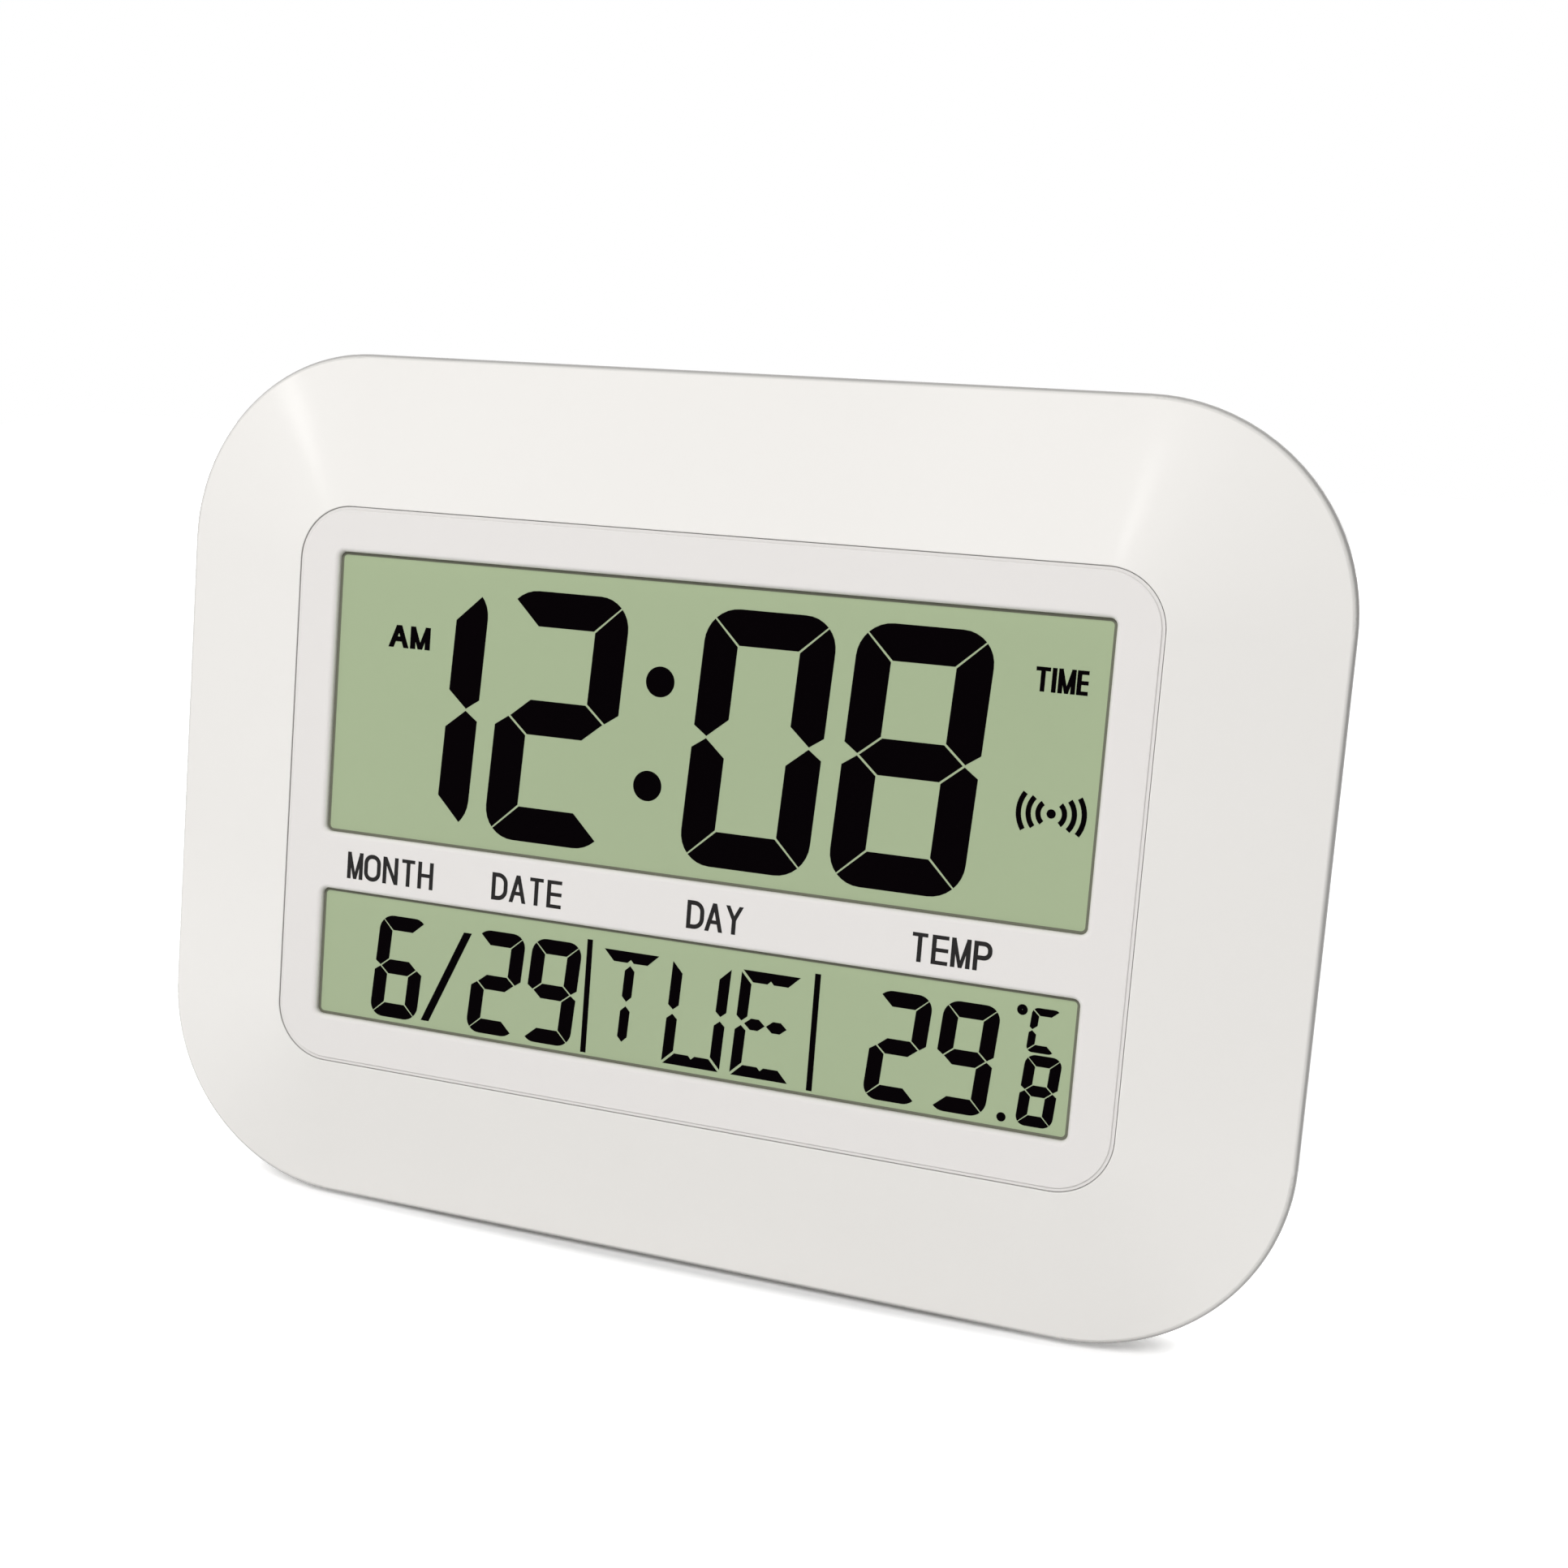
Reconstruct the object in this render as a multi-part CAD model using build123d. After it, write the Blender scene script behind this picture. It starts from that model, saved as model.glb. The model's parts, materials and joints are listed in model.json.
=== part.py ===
from build123d import *

import os
from math import atan, cos, hypot

# Digital clock for a wall or a desk, in millimetres.
# Every piece is drawn with the clock lying on its back: x to the right of the face, y to the top of the face
# and z from the wall side towards the reader. The finished pieces are then stood on a table, leaning back on
# the fold-out leg, with the middle of the footprint at the origin and +Z up.

# Casing
OUTLINE_WIDTH = 226.0
OUTLINE_HEIGHT = 166.6
OUTLINE_CORNER = 38.0
BAND_SIDE = 30.7
BAND_END = 30.0
BEZEL_FALL = 8.3
RIM_ROUND = 1.4
PARTING_HEIGHT = 12.0
PARTING_ROUND = 0.4
WALL = 2.0
COVER_STEP = 0.8
COVER_DRAW_IN = 4.0
COVER_BACK_CORNER = 30.0
COVER_BACK_ROUND = 3.0
TONGUE_HEIGHT = 2.0
TONGUE_WALL = 1.3
TONGUE_CLEARANCE = 0.15
LEAN = 13.3

# Display panel and its windows
PANEL_CORNER = 10.0
PANEL_PLATE = 1.3
PANEL_SKIRT = 2.0
PANEL_POCKET_CORNER = 5.0
SEAM = 0.6
SEAM_DEPTH = 0.3
SEAM_FIT = 0.06
SEAM_ROUND = 0.25
LEDGE = 4.0
LEDGE_CLEARANCE = 0.5
WINDOW_SIDE = 7.6
WINDOW_TOP = 7.95
WINDOW_BOTTOM = 8.4
WINDOW_BAR = 11.1
LOWER_WINDOW_HEIGHT = 25.1
WINDOW_CORNER = 1.3
WINDOW_ROUND = 0.9

# Display sandwich
LCD_EDGE = 2.0
LCD_TOP_EDGE = 1.8
LCD_LEDGE = 3.6
POLARISER = 0.25
GLASS = 1.1
REFLECTOR = 0.25
ZEBRA_WIDTH = 2.4
ZEBRA_CLEARANCE = 0.2

# Inner chassis and main board
CHASSIS_PLATE = 1.6
CHASSIS_PAD = 0.85
CHASSIS_CORNER = 12.0
CHASSIS_OVERLAP = 1.0
CHASSIS_ABOVE_BAY = 2.5
CHASSIS_WINDOW_SIDE = 22.6
CHASSIS_WINDOW_MARGIN = 6.0
CHASSIS_WINDOW_CORNER = 3.0
CHASSIS_WINDOW_RIB = 4.0
PAD_CLEARANCE = 0.6
EAR_INSET = 25.0
EAR_OUT = 8.0
EAR_WIDTH = 9.0
EAR_DROP = 5.2
STANDOFF_HEIGHT = 1.2
STANDOFF_RADIUS = 2.6
BOARD = 1.6
BOARD_SIDE = 2.6
BOARD_HEIGHT = 45.5
BOARD_TOP_MARGIN = 0.6
BOARD_CORNER = 1.6
BOARD_SCREW_INSET = 6.0
BOARD_SCREW_LOW = 6.0
BOARD_SCREW_HIGH = 34.0

# Parts on the main board, placed from its lower edge, its screws and the row of keys
LOW_ROW = 8.0
BLOB_RADIUS = 8.0
BLOB_HEIGHT = 1.8
BLOB_FROM_CRYSTAL = 22.0
CRYSTAL_LENGTH = 8.0
CRYSTAL_RADIUS = 1.5
CRYSTAL_SUNK = 0.3
CRYSTAL_FROM_SCREW = 24.0
RECEIVER_SIZE = (20.0, 12.0, 1.0)
RECEIVER_CHIP = (6.0, 5.0, 1.4)
RECEIVER_FROM_SCREW = 20.0
SWITCH_BODY = 6.0
SWITCH_CORNER = 0.6
SWITCH_HEIGHT = 3.5
SWITCH_TIP_RADIUS = 1.7
SWITCH_TIP_HEIGHT = 0.9
SENSOR_BEAD = 1.4
SENSOR_LEAD = 0.3
SENSOR_LEAD_GAP = 1.6
SENSOR_FROM_SCREW = 8.0
SENSOR_ABOVE_KEYS = 17.0
SENSOR_HEIGHT = 6.5

# Keys in the back
KEY_NAMES = ("set_button", "up_button", "down_button", "alarm_button", "receive_button", "unit_button")
KEY_ROW_UP = 24.0
KEY_PITCH = 15.0
KEY_LENGTH = 9.0
KEY_WIDTH = 6.0
KEY_CORNER = 2.4
KEY_CLEARANCE = 0.2
KEY_TRAVEL = 0.6
KEY_BELOW_BACK = 0.25
KEY_FLANGE_OUT = 1.2
KEY_FLANGE = 1.0
KEY_FLANGE_GAP = 0.2
KEY_STEM_RADIUS = 1.9
KEY_TIP_GAP = 0.1
KEY_DISH = 0.35
KEY_POCKET_DEPTH = 1.2
KEY_POCKET_MARGIN = 3.5

# Stand leg and its recess
HINGE_BELOW_KEYS = 22.5
STAND_OPEN = 24.0
LEG_TOP_WIDTH = 40.0
LEG_TAPER = 3.0
LEG_DEPTH = 4.0
LEG_SKIN = 1.6
LEG_RIB = 1.8
LEG_ROUND = 0.7
LEG_SHOULDER = 8.4
LEG_HOLLOW_BELOW = 4.2
LEG_TOE = 12.6
LEG_BELOW_BACK = 0.4
LEG_SIDE_CLEARANCE = 0.5
LEG_HEEL = 4.2
LEG_STOP_GAP = 0.08
RECESS_FLOOR_GAP = 0.5
RECESS_WALL = 1.8
TRUNNION_RADIUS = 1.5
TRUNNION_LENGTH = 1.3
TRUNNION_CLEARANCE = 0.06
HINGE_CHEEK = 3.0

# Battery bay, cells, contacts and door
CELL_RADIUS = 7.1
CELL_LENGTH = 50.5
CELL_ROUND = 0.4
CELL_NUB_RADIUS = 2.7
CELL_NUB = 1.3
CELL_PITCH = 15.4
CELL_CLEARANCE = 0.25
BAY_BESIDE_STAND = 1.5
BAY_BELOW_BOARD = 4.0
BAY_END_ROOM = 6.0
BAY_WALL = 1.4
BAY_LIP = 3.2
DOOR = 1.8
DOOR_SEAT_GAP = 0.05
DOOR_EDGE_GAP = 0.3
DOOR_OVERLAP = 2.2
DOOR_CORNER = 2.0
HOOK_WIDTH = 7.0
HOOK_X = 18.0
HOOK_REACH = 1.0
HOOK_DROP = 0.5
HOOK_TOE = 1.0
HOOK_POST = 1.0
HOOK_POST_GAP = 0.15
LATCH_WIDTH = 12.0
LATCH_LENGTH = 9.0
LATCH_SLOT = 1.0
LATCH_NOSE = 1.1
LATCH_RIDGES = 3
LATCH_RIDGE_PITCH = 2.0
LATCH_RIDGE_RADIUS = 0.5
CONTACT_PLATE = 0.4
CONTACT_WIDTH = 11.0
CONTACT_TALL = 10.0
CONTACT_GAP = 0.1
CONTACT_TIP = 1.3
LEAF_WIDTH = 7.0
LEAF_CREST = 2.4
LEAF_FREE_GAP = 1.0

# Aerial and buzzer
ROD_RADIUS = 4.0
ROD_LENGTH = 48.0
ROD_BESIDE_STAND = 10.0
ROD_ABOVE_BASE = 24.5
ROD_HEIGHT = 9.0
WINDING_LENGTH = 20.0
WINDING_WALL = 0.8
SADDLE = 3.0
SADDLE_INSET = 4.0
SADDLE_WALL = 1.2
ROUND_CLEARANCE = 0.05
BUZZER_RADIUS = 13.5
BUZZER_CERAMIC_RADIUS = 10.0
BUZZER_DISC = 0.3
BUZZER_SEAT = 1.0
BUZZER_RING = 1.2
BUZZER_BESIDE_STAND = 9.0
BUZZER_ABOVE_BASE = 52.5
SLOT_LENGTH = 15.0
SLOT_WIDTH = 1.6
SLOT_CORNER = 0.75
SLOT_PITCH = 3.6
SOUND_SLOTS = 5
AIR_SLOTS = 4

# Keyhole for a wall screw
KEYHOLE_RADIUS = 4.5
KEYHOLE_SLOT_RADIUS = 2.2
KEYHOLE_RISE = 7.5
KEYHOLE_BELOW_TOP = 29.5
KEYHOLE_POCKET_DEPTH = 7.5
KEYHOLE_POCKET_ROOM = 2.0
KEYHOLE_POCKET_WALL = 1.2

# Screws
CORNER_SCREW_IN = 18.5
CORNER_SCREW_UP = 28.5
BASE_SCREW_BESIDE_STAND = 7.7
BASE_SCREW_UP = 16.5
BOSS_RADIUS = 3.6
BOSS_GAP = 0.1
SCREW_RADIUS = 1.3
SCREW_CLEARANCE = 0.2
THREAD_CLEARANCE = 0.05
HEAD_RADIUS = 2.6
HEAD_HEIGHT = 1.7
HEAD_ROUND = 0.5
HEAD_CLEARANCE = 0.5
SINK_DEPTH = 4.5
SINK_WALL = 1.2
CASE_SCREW_BITE = 5.0
CHASSIS_SCREW_BITE = 3.4
BOARD_SCREW_RADIUS = 0.9
BOARD_SCREW_BITE = 2.0
BOARD_HEAD_RADIUS = 1.9
BOARD_HEAD_HEIGHT = 1.4
CROSS_WIDTH = 0.7
CROSS_MARGIN = 0.9
CROSS_DEPTH = 0.8

# Levels from the wall side to the face: door, cells, bay, chassis, display sandwich, panel
INSIDE_BACK = WALL / 2
DOOR_SEAT = DOOR_SEAT_GAP + DOOR + DOOR_SEAT_GAP
CELL_HEIGHT = DOOR_SEAT + CELL_CLEARANCE + CELL_RADIUS
BAY_FLOOR = CELL_HEIGHT + CELL_RADIUS + CELL_CLEARANCE
BAY_ROOF = BAY_FLOOR + BAY_WALL
CHASSIS_BACK = BAY_ROOF + CHASSIS_ABOVE_BAY
FLANGE_BACK = CHASSIS_BACK + CHASSIS_PLATE
LCD_BACK = FLANGE_BACK + CHASSIS_PAD
GLASS_BACK = LCD_BACK + REFLECTOR
GLASS_MIDDLE = GLASS_BACK + GLASS
GLASS_FRONT = GLASS_MIDDLE + GLASS
POLARISER_FRONT = GLASS_FRONT + POLARISER
CASE_DEPTH = POLARISER_FRONT + PANEL_PLATE
RIM_HEIGHT = CASE_DEPTH - BEZEL_FALL
EAR_FRONT = FLANGE_BACK - EAR_DROP
EAR_BACK = EAR_FRONT - CHASSIS_PLATE
BOARD_FRONT = CHASSIS_BACK - STANDOFF_HEIGHT
BOARD_BACK = BOARD_FRONT - BOARD
SWITCH_TIP = BOARD_BACK - SWITCH_HEIGHT - SWITCH_TIP_HEIGHT
KEY_FLOOR = KEY_POCKET_DEPTH + WALL
KEY_END = SWITCH_TIP - KEY_TRAVEL - KEY_TIP_GAP
HINGE_Z = LEG_BELOW_BACK + LEG_DEPTH / 2
RECESS_FLOOR = LEG_BELOW_BACK + LEG_DEPTH + RECESS_FLOOR_GAP

# The sloping band and the ledge under it that the panel's flange seats on
PANEL_WIDTH = OUTLINE_WIDTH - 2 * BAND_SIDE
PANEL_HEIGHT = OUTLINE_HEIGHT - 2 * BAND_END
OPENING_WIDTH = PANEL_WIDTH + 2 * SEAM
OPENING_HEIGHT = PANEL_HEIGHT + 2 * SEAM
BAND_SLOPE = BEZEL_FALL / min((OUTLINE_WIDTH - OPENING_WIDTH) / 2, (OUTLINE_HEIGHT - OPENING_HEIGHT) / 2)
BAND_WALL = WALL / cos(atan(BAND_SLOPE))
LEDGE_HEIGHT = CASE_DEPTH - LEDGE * BAND_SLOPE - BAND_WALL

# Places on the face, from its middle
WINDOW_WIDTH = PANEL_WIDTH - 2 * WINDOW_SIDE
UPPER_WINDOW_TOP = PANEL_HEIGHT / 2 - WINDOW_TOP
LOWER_WINDOW_BOTTOM = WINDOW_BOTTOM - PANEL_HEIGHT / 2
LOWER_WINDOW_TOP = LOWER_WINDOW_BOTTOM + LOWER_WINDOW_HEIGHT
UPPER_WINDOW_BOTTOM = LOWER_WINDOW_TOP + WINDOW_BAR
LCD_WIDTH = WINDOW_WIDTH + 2 * LCD_EDGE
LCD_BOTTOM = LOWER_WINDOW_BOTTOM - LCD_EDGE
LCD_REAR_TOP = UPPER_WINDOW_TOP + LCD_TOP_EDGE
LCD_FRONT_TOP = LCD_REAR_TOP + LCD_LEDGE
ZEBRA_Y = LCD_REAR_TOP + LCD_LEDGE / 2
CHASSIS_WIDTH = OPENING_WIDTH + 2 * LEDGE + 2 * CHASSIS_OVERLAP
CHASSIS_HEIGHT = OPENING_HEIGHT + 2 * LEDGE + 2 * CHASSIS_OVERLAP
EAR_X = CHASSIS_WIDTH / 2 - EAR_INSET
EAR_Y = CHASSIS_HEIGHT / 2 + EAR_OUT
EAR_PLACES = ((-EAR_X, EAR_Y), (EAR_X, EAR_Y), (-EAR_X, -EAR_Y), (EAR_X, -EAR_Y))
BOARD_WIDTH = LCD_WIDTH - 2 * BOARD_SIDE
BOARD_TOP = LCD_FRONT_TOP + BOARD_TOP_MARGIN
BOARD_BOTTOM = BOARD_TOP - BOARD_HEIGHT
BOARD_SCREW_X = BOARD_WIDTH / 2 - BOARD_SCREW_INSET
BOARD_SCREW_ROWS = (BOARD_BOTTOM + BOARD_SCREW_LOW, BOARD_BOTTOM + BOARD_SCREW_HIGH)
BOARD_SCREW_PLACES = [(side * BOARD_SCREW_X, row) for row in BOARD_SCREW_ROWS for side in (-1, 1)]
CHASSIS_WINDOW_WIDTH = (LCD_WIDTH - CHASSIS_WINDOW_RIB) / 2 - CHASSIS_WINDOW_SIDE
CHASSIS_WINDOW_HEIGHT = BOARD_BOTTOM - LCD_BOTTOM - 2 * CHASSIS_WINDOW_MARGIN
CHASSIS_WINDOW_Y = (BOARD_BOTTOM + LCD_BOTTOM) / 2
CRYSTAL_PLACE = (BOARD_SCREW_X - CRYSTAL_FROM_SCREW, BOARD_BOTTOM + LOW_ROW)
BLOB_PLACE = (CRYSTAL_PLACE[0] - BLOB_FROM_CRYSTAL, BOARD_BOTTOM + LOW_ROW)
RECEIVER_PLACE = (RECEIVER_FROM_SCREW - BOARD_SCREW_X, BOARD_BOTTOM + LOW_ROW)
KEY_ROW = BOARD_BOTTOM + KEY_ROW_UP
SENSOR_PLACE = (SENSOR_FROM_SCREW - BOARD_SCREW_X, KEY_ROW + SENSOR_ABOVE_KEYS)
KEY_PLACES = [((index - (len(KEY_NAMES) - 1) / 2) * KEY_PITCH, KEY_ROW) for index in range(len(KEY_NAMES))]
KEYHOLE_HEIGHT = OUTLINE_HEIGHT / 2 - KEYHOLE_BELOW_TOP

# Places above the lower rim
BASE_Y = -OUTLINE_HEIGHT / 2
HINGE_Y = KEY_ROW - HINGE_BELOW_KEYS
RECESS_HALF = LEG_TOP_WIDTH / 2 + LEG_SIDE_CLEARANCE
RECESS_SIDE = RECESS_HALF + RECESS_WALL
RECESS_TOP = HINGE_Y + hypot(LEG_HEEL, LEG_DEPTH / 2) + LEG_SIDE_CLEARANCE
BAY_LENGTH = CELL_LENGTH + BAY_END_ROOM
BAY_HEIGHT = CELL_PITCH + 2 * CELL_RADIUS + 2 * CELL_CLEARANCE
BAY_LEFT = RECESS_SIDE + BAY_BESIDE_STAND + DOOR_OVERLAP + BAY_WALL
BAY_RIGHT = BAY_LEFT + BAY_LENGTH
BAY_X = (BAY_LEFT + BAY_RIGHT) / 2
BAY_Y = BOARD_BOTTOM - BAY_BELOW_BOARD - BAY_WALL - BAY_HEIGHT / 2
BAY_PLACE = (BAY_X, BAY_Y)
BAY_BOTTOM = BAY_Y - BAY_HEIGHT / 2
BAY_TOP = BAY_Y + BAY_HEIGHT / 2
DOOR_WIDTH = BAY_LENGTH + 2 * DOOR_OVERLAP - 2 * DOOR_EDGE_GAP
DOOR_HEIGHT = BAY_HEIGHT + 2 * DOOR_OVERLAP - 2 * DOOR_EDGE_GAP
DOOR_TOP = BAY_Y + DOOR_HEIGHT / 2
CELL_ROWS = (BAY_Y + CELL_PITCH / 2, BAY_Y - CELL_PITCH / 2)
CELL_NUB_END = CONTACT_PLATE + CONTACT_TIP + 2 * CONTACT_GAP
BUZZER_PLACE = (-RECESS_SIDE - BUZZER_BESIDE_STAND - BUZZER_RADIUS, BASE_Y + BUZZER_ABOVE_BASE)
ROD_X = -RECESS_SIDE - ROD_BESIDE_STAND - ROD_LENGTH / 2
ROD_Y = BASE_Y + ROD_ABOVE_BASE
CORNER_SCREW_X = OUTLINE_WIDTH / 2 - CORNER_SCREW_IN
CORNER_SCREW_Y = OUTLINE_HEIGHT / 2 - CORNER_SCREW_UP
BASE_SCREW_X = RECESS_SIDE + BASE_SCREW_BESIDE_STAND
BASE_SCREW_Y = BASE_Y + BASE_SCREW_UP
CASE_SCREW_PLACES = [(side * CORNER_SCREW_X, end * CORNER_SCREW_Y) for end in (-1, 1) for side in (-1, 1)]
CASE_SCREW_PLACES += [(side * BASE_SCREW_X, BASE_SCREW_Y) for side in (-1, 1)]


def slab(width, height, corner, low, high, place=(0, 0)):
    """A flat piece with rounded corners between two heights."""
    outline = RectangleRounded(width, height, corner)
    return Pos(place[0], place[1], low) * extrude(outline, amount=high - low)


def block(left, right, bottom, top, low, high):
    """A plain block between its six faces."""
    size = Box(right - left, top - bottom, high - low)
    return Pos((left + right) / 2, (bottom + top) / 2, (low + high) / 2) * size


def post(radius, low, high, place):
    """An upright cylinder between two heights."""
    body = Cylinder(radius, high - low)
    return Pos(place[0], place[1], (low + high) / 2) * body


def rod(radius, left, right, y, z):
    """A cylinder that lies along x."""
    body = Rot(0, 90, 0) * Cylinder(radius, right - left)
    return Pos((left + right) / 2, y, z) * body


def taper(low_size, low, high_size, high):
    """A straight-sided form between two rounded rectangles, each given as width, height and corner."""
    lower = Pos(0, 0, low) * RectangleRounded(*low_size)
    upper = Pos(0, 0, high) * RectangleRounded(*high_size)
    return loft([lower, upper], ruled=True)


def fused(shapes):
    """One solid from several that touch or cross."""
    whole = shapes[0]
    for shape in shapes[1:]:
        whole = whole + shape
    return whole


def edges_at(shape, height):
    """The edges that lie flat at one height."""
    return shape.edges().filter_by_position(Axis.Z, height - 0.001, height + 0.001)


def frame_outer():
    """The frame's outside: an upright rim, then the band that slopes up to the panel."""
    outline = (OUTLINE_WIDTH, OUTLINE_HEIGHT, OUTLINE_CORNER)
    rim = slab(*outline, PARTING_HEIGHT, RIM_HEIGHT)
    band = taper(outline, RIM_HEIGHT, (OPENING_WIDTH, OPENING_HEIGHT, PANEL_CORNER + SEAM), CASE_DEPTH)
    body = rim + band
    body = fillet(edges_at(body, RIM_HEIGHT), RIM_ROUND)
    return fillet(edges_at(body, PARTING_HEIGHT), PARTING_ROUND)


def front_frame():
    outer = frame_outer()
    inner = (OUTLINE_WIDTH - 2 * WALL, OUTLINE_HEIGHT - 2 * WALL, OUTLINE_CORNER - WALL)
    ledge = (OPENING_WIDTH + 2 * LEDGE, OPENING_HEIGHT + 2 * LEDGE, PANEL_CORNER + SEAM + LEDGE)
    shoulder = RIM_HEIGHT + WALL * BAND_SLOPE - BAND_WALL
    hollow = slab(*inner, PARTING_HEIGHT, shoulder) + taper(inner, shoulder, ledge, LEDGE_HEIGHT)
    opening = slab(OPENING_WIDTH, OPENING_HEIGHT, PANEL_CORNER + SEAM, LEDGE_HEIGHT, CASE_DEPTH)
    shell = outer - hollow - opening
    shell = fillet(edges_at(shell, CASE_DEPTH), SEAM_ROUND)
    bosses = [post(BOSS_RADIUS, PARTING_HEIGHT, CASE_DEPTH, place) for place in CASE_SCREW_PLACES]
    bosses += [post(BOSS_RADIUS, EAR_FRONT, CASE_DEPTH, place) for place in EAR_PLACES]
    shell = shell + (fused(bosses) & outer)
    case_bite = PARTING_HEIGHT + CASE_SCREW_BITE + BOSS_GAP
    pilot = SCREW_RADIUS + THREAD_CLEARANCE
    for place in CASE_SCREW_PLACES:
        shell = shell - post(pilot, PARTING_HEIGHT, case_bite, place)
    for place in EAR_PLACES:
        shell = shell - post(pilot, EAR_FRONT, EAR_FRONT + CHASSIS_SCREW_BITE + BOSS_GAP, place)
    return shell


def window(bottom, top):
    """The cutter for one display window."""
    middle = (0, (bottom + top) / 2)
    return slab(WINDOW_WIDTH, top - bottom, WINDOW_CORNER, POLARISER_FRONT, CASE_DEPTH, middle)


def window_lips(panel):
    """The front edges of both windows, without the panel's own outline."""
    half = WINDOW_WIDTH / 2 + SEAM
    lips = edges_at(panel, CASE_DEPTH).filter_by_position(Axis.X, -half, half)
    return lips.filter_by_position(Axis.Y, LOWER_WINDOW_BOTTOM - SEAM, UPPER_WINDOW_TOP + SEAM)


def display_panel():
    body = slab(PANEL_WIDTH, PANEL_HEIGHT, PANEL_CORNER, FLANGE_BACK, CASE_DEPTH)
    body = fillet(edges_at(body, CASE_DEPTH), SEAM_ROUND)
    fitted = (OPENING_WIDTH - 2 * SEAM_FIT, OPENING_HEIGHT - 2 * SEAM_FIT, PANEL_CORNER + SEAM - SEAM_FIT)
    body = body + slab(*fitted, FLANGE_BACK, CASE_DEPTH - SEAM_DEPTH)
    reach = 2 * (LEDGE + SEAM - LEDGE_CLEARANCE)
    flange_corner = PANEL_CORNER + reach / 2
    body = body + slab(PANEL_WIDTH + reach, PANEL_HEIGHT + reach, flange_corner, FLANGE_BACK, LEDGE_HEIGHT)
    inside = (PANEL_WIDTH - 2 * PANEL_SKIRT, PANEL_HEIGHT - 2 * PANEL_SKIRT, PANEL_POCKET_CORNER)
    body = body - slab(*inside, FLANGE_BACK, POLARISER_FRONT)
    body = body - window(UPPER_WINDOW_BOTTOM, UPPER_WINDOW_TOP)
    body = body - window(LOWER_WINDOW_BOTTOM, LOWER_WINDOW_TOP)
    return fillet(window_lips(body), WINDOW_ROUND)


def lcd_sheet(top, low, high):
    """One layer of the display, as wide as the glass."""
    half = LCD_WIDTH / 2
    return block(-half, half, LCD_BOTTOM, top, low, high)


def display_layers():
    return {
        "lcd_front_polariser": lcd_sheet(LCD_REAR_TOP, GLASS_FRONT, POLARISER_FRONT),
        "lcd_front_glass": lcd_sheet(LCD_FRONT_TOP, GLASS_MIDDLE, GLASS_FRONT),
        "lcd_rear_glass": lcd_sheet(LCD_REAR_TOP, GLASS_BACK, GLASS_MIDDLE),
        "lcd_reflector": lcd_sheet(LCD_REAR_TOP, LCD_BACK, GLASS_BACK),
    }


def zebra_strip():
    half = LCD_WIDTH / 2 - LCD_EDGE
    low = ZEBRA_Y - ZEBRA_WIDTH / 2
    return block(-half, half, low, low + ZEBRA_WIDTH, BOARD_FRONT, GLASS_MIDDLE)


def chassis_ear(place):
    """One screw ear: a short drop wall and a rounded foot with a screw hole."""
    x, y = place
    side = 1 if y > 0 else -1
    wall_in = side * (CHASSIS_HEIGHT / 2 - CHASSIS_PLATE)
    wall_out = side * CHASSIS_HEIGHT / 2
    left, right = x - EAR_WIDTH / 2, x + EAR_WIDTH / 2
    low, high = min(wall_in, wall_out), max(wall_in, wall_out)
    wall = block(left, right, low, high, EAR_BACK, FLANGE_BACK)
    low, high = min(wall_in, y), max(wall_in, y)
    foot = block(left, right, low, high, EAR_BACK, EAR_FRONT)
    foot = foot + post(EAR_WIDTH / 2, EAR_BACK, EAR_FRONT, place)
    return wall + foot - post(SCREW_RADIUS + SCREW_CLEARANCE, EAR_BACK, EAR_FRONT, place)


def display_chassis():
    plate = slab(CHASSIS_WIDTH, CHASSIS_HEIGHT, CHASSIS_CORNER, CHASSIS_BACK, FLANGE_BACK)
    pad_width = PANEL_WIDTH - 2 * PANEL_SKIRT - 2 * PAD_CLEARANCE
    pad_height = PANEL_HEIGHT - 2 * PANEL_SKIRT - 2 * PAD_CLEARANCE
    plate = plate + slab(pad_width, pad_height, PANEL_POCKET_CORNER, CHASSIS_BACK, LCD_BACK)
    rear_face = CHASSIS_BACK - STANDOFF_HEIGHT
    for place in BOARD_SCREW_PLACES:
        plate = plate + post(STANDOFF_RADIUS, rear_face, CHASSIS_BACK, place)
    for place in BOARD_SCREW_PLACES:
        pilot = BOARD_SCREW_RADIUS + THREAD_CLEARANCE
        plate = plate - post(pilot, rear_face, rear_face + BOARD_SCREW_BITE + BOSS_GAP, place)
    for place in EAR_PLACES:
        plate = plate + chassis_ear(place)
    for place in CASE_SCREW_PLACES:
        plate = plate - post(BOSS_RADIUS + PAD_CLEARANCE, EAR_BACK, LCD_BACK, place)
    half = LCD_WIDTH / 2 - LCD_EDGE + ZEBRA_CLEARANCE
    low = ZEBRA_Y - ZEBRA_WIDTH / 2 - ZEBRA_CLEARANCE
    slot_width = ZEBRA_WIDTH + 2 * ZEBRA_CLEARANCE
    plate = plate - block(-half, half, low, low + slot_width, CHASSIS_BACK, LCD_BACK)
    for side in (-1, 1):
        middle = (side * (CHASSIS_WINDOW_WIDTH + CHASSIS_WINDOW_RIB) / 2, CHASSIS_WINDOW_Y)
        opening = (CHASSIS_WINDOW_WIDTH, CHASSIS_WINDOW_HEIGHT, CHASSIS_WINDOW_CORNER)
        plate = plate - slab(*opening, CHASSIS_BACK, LCD_BACK, middle)
    return plate


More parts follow.
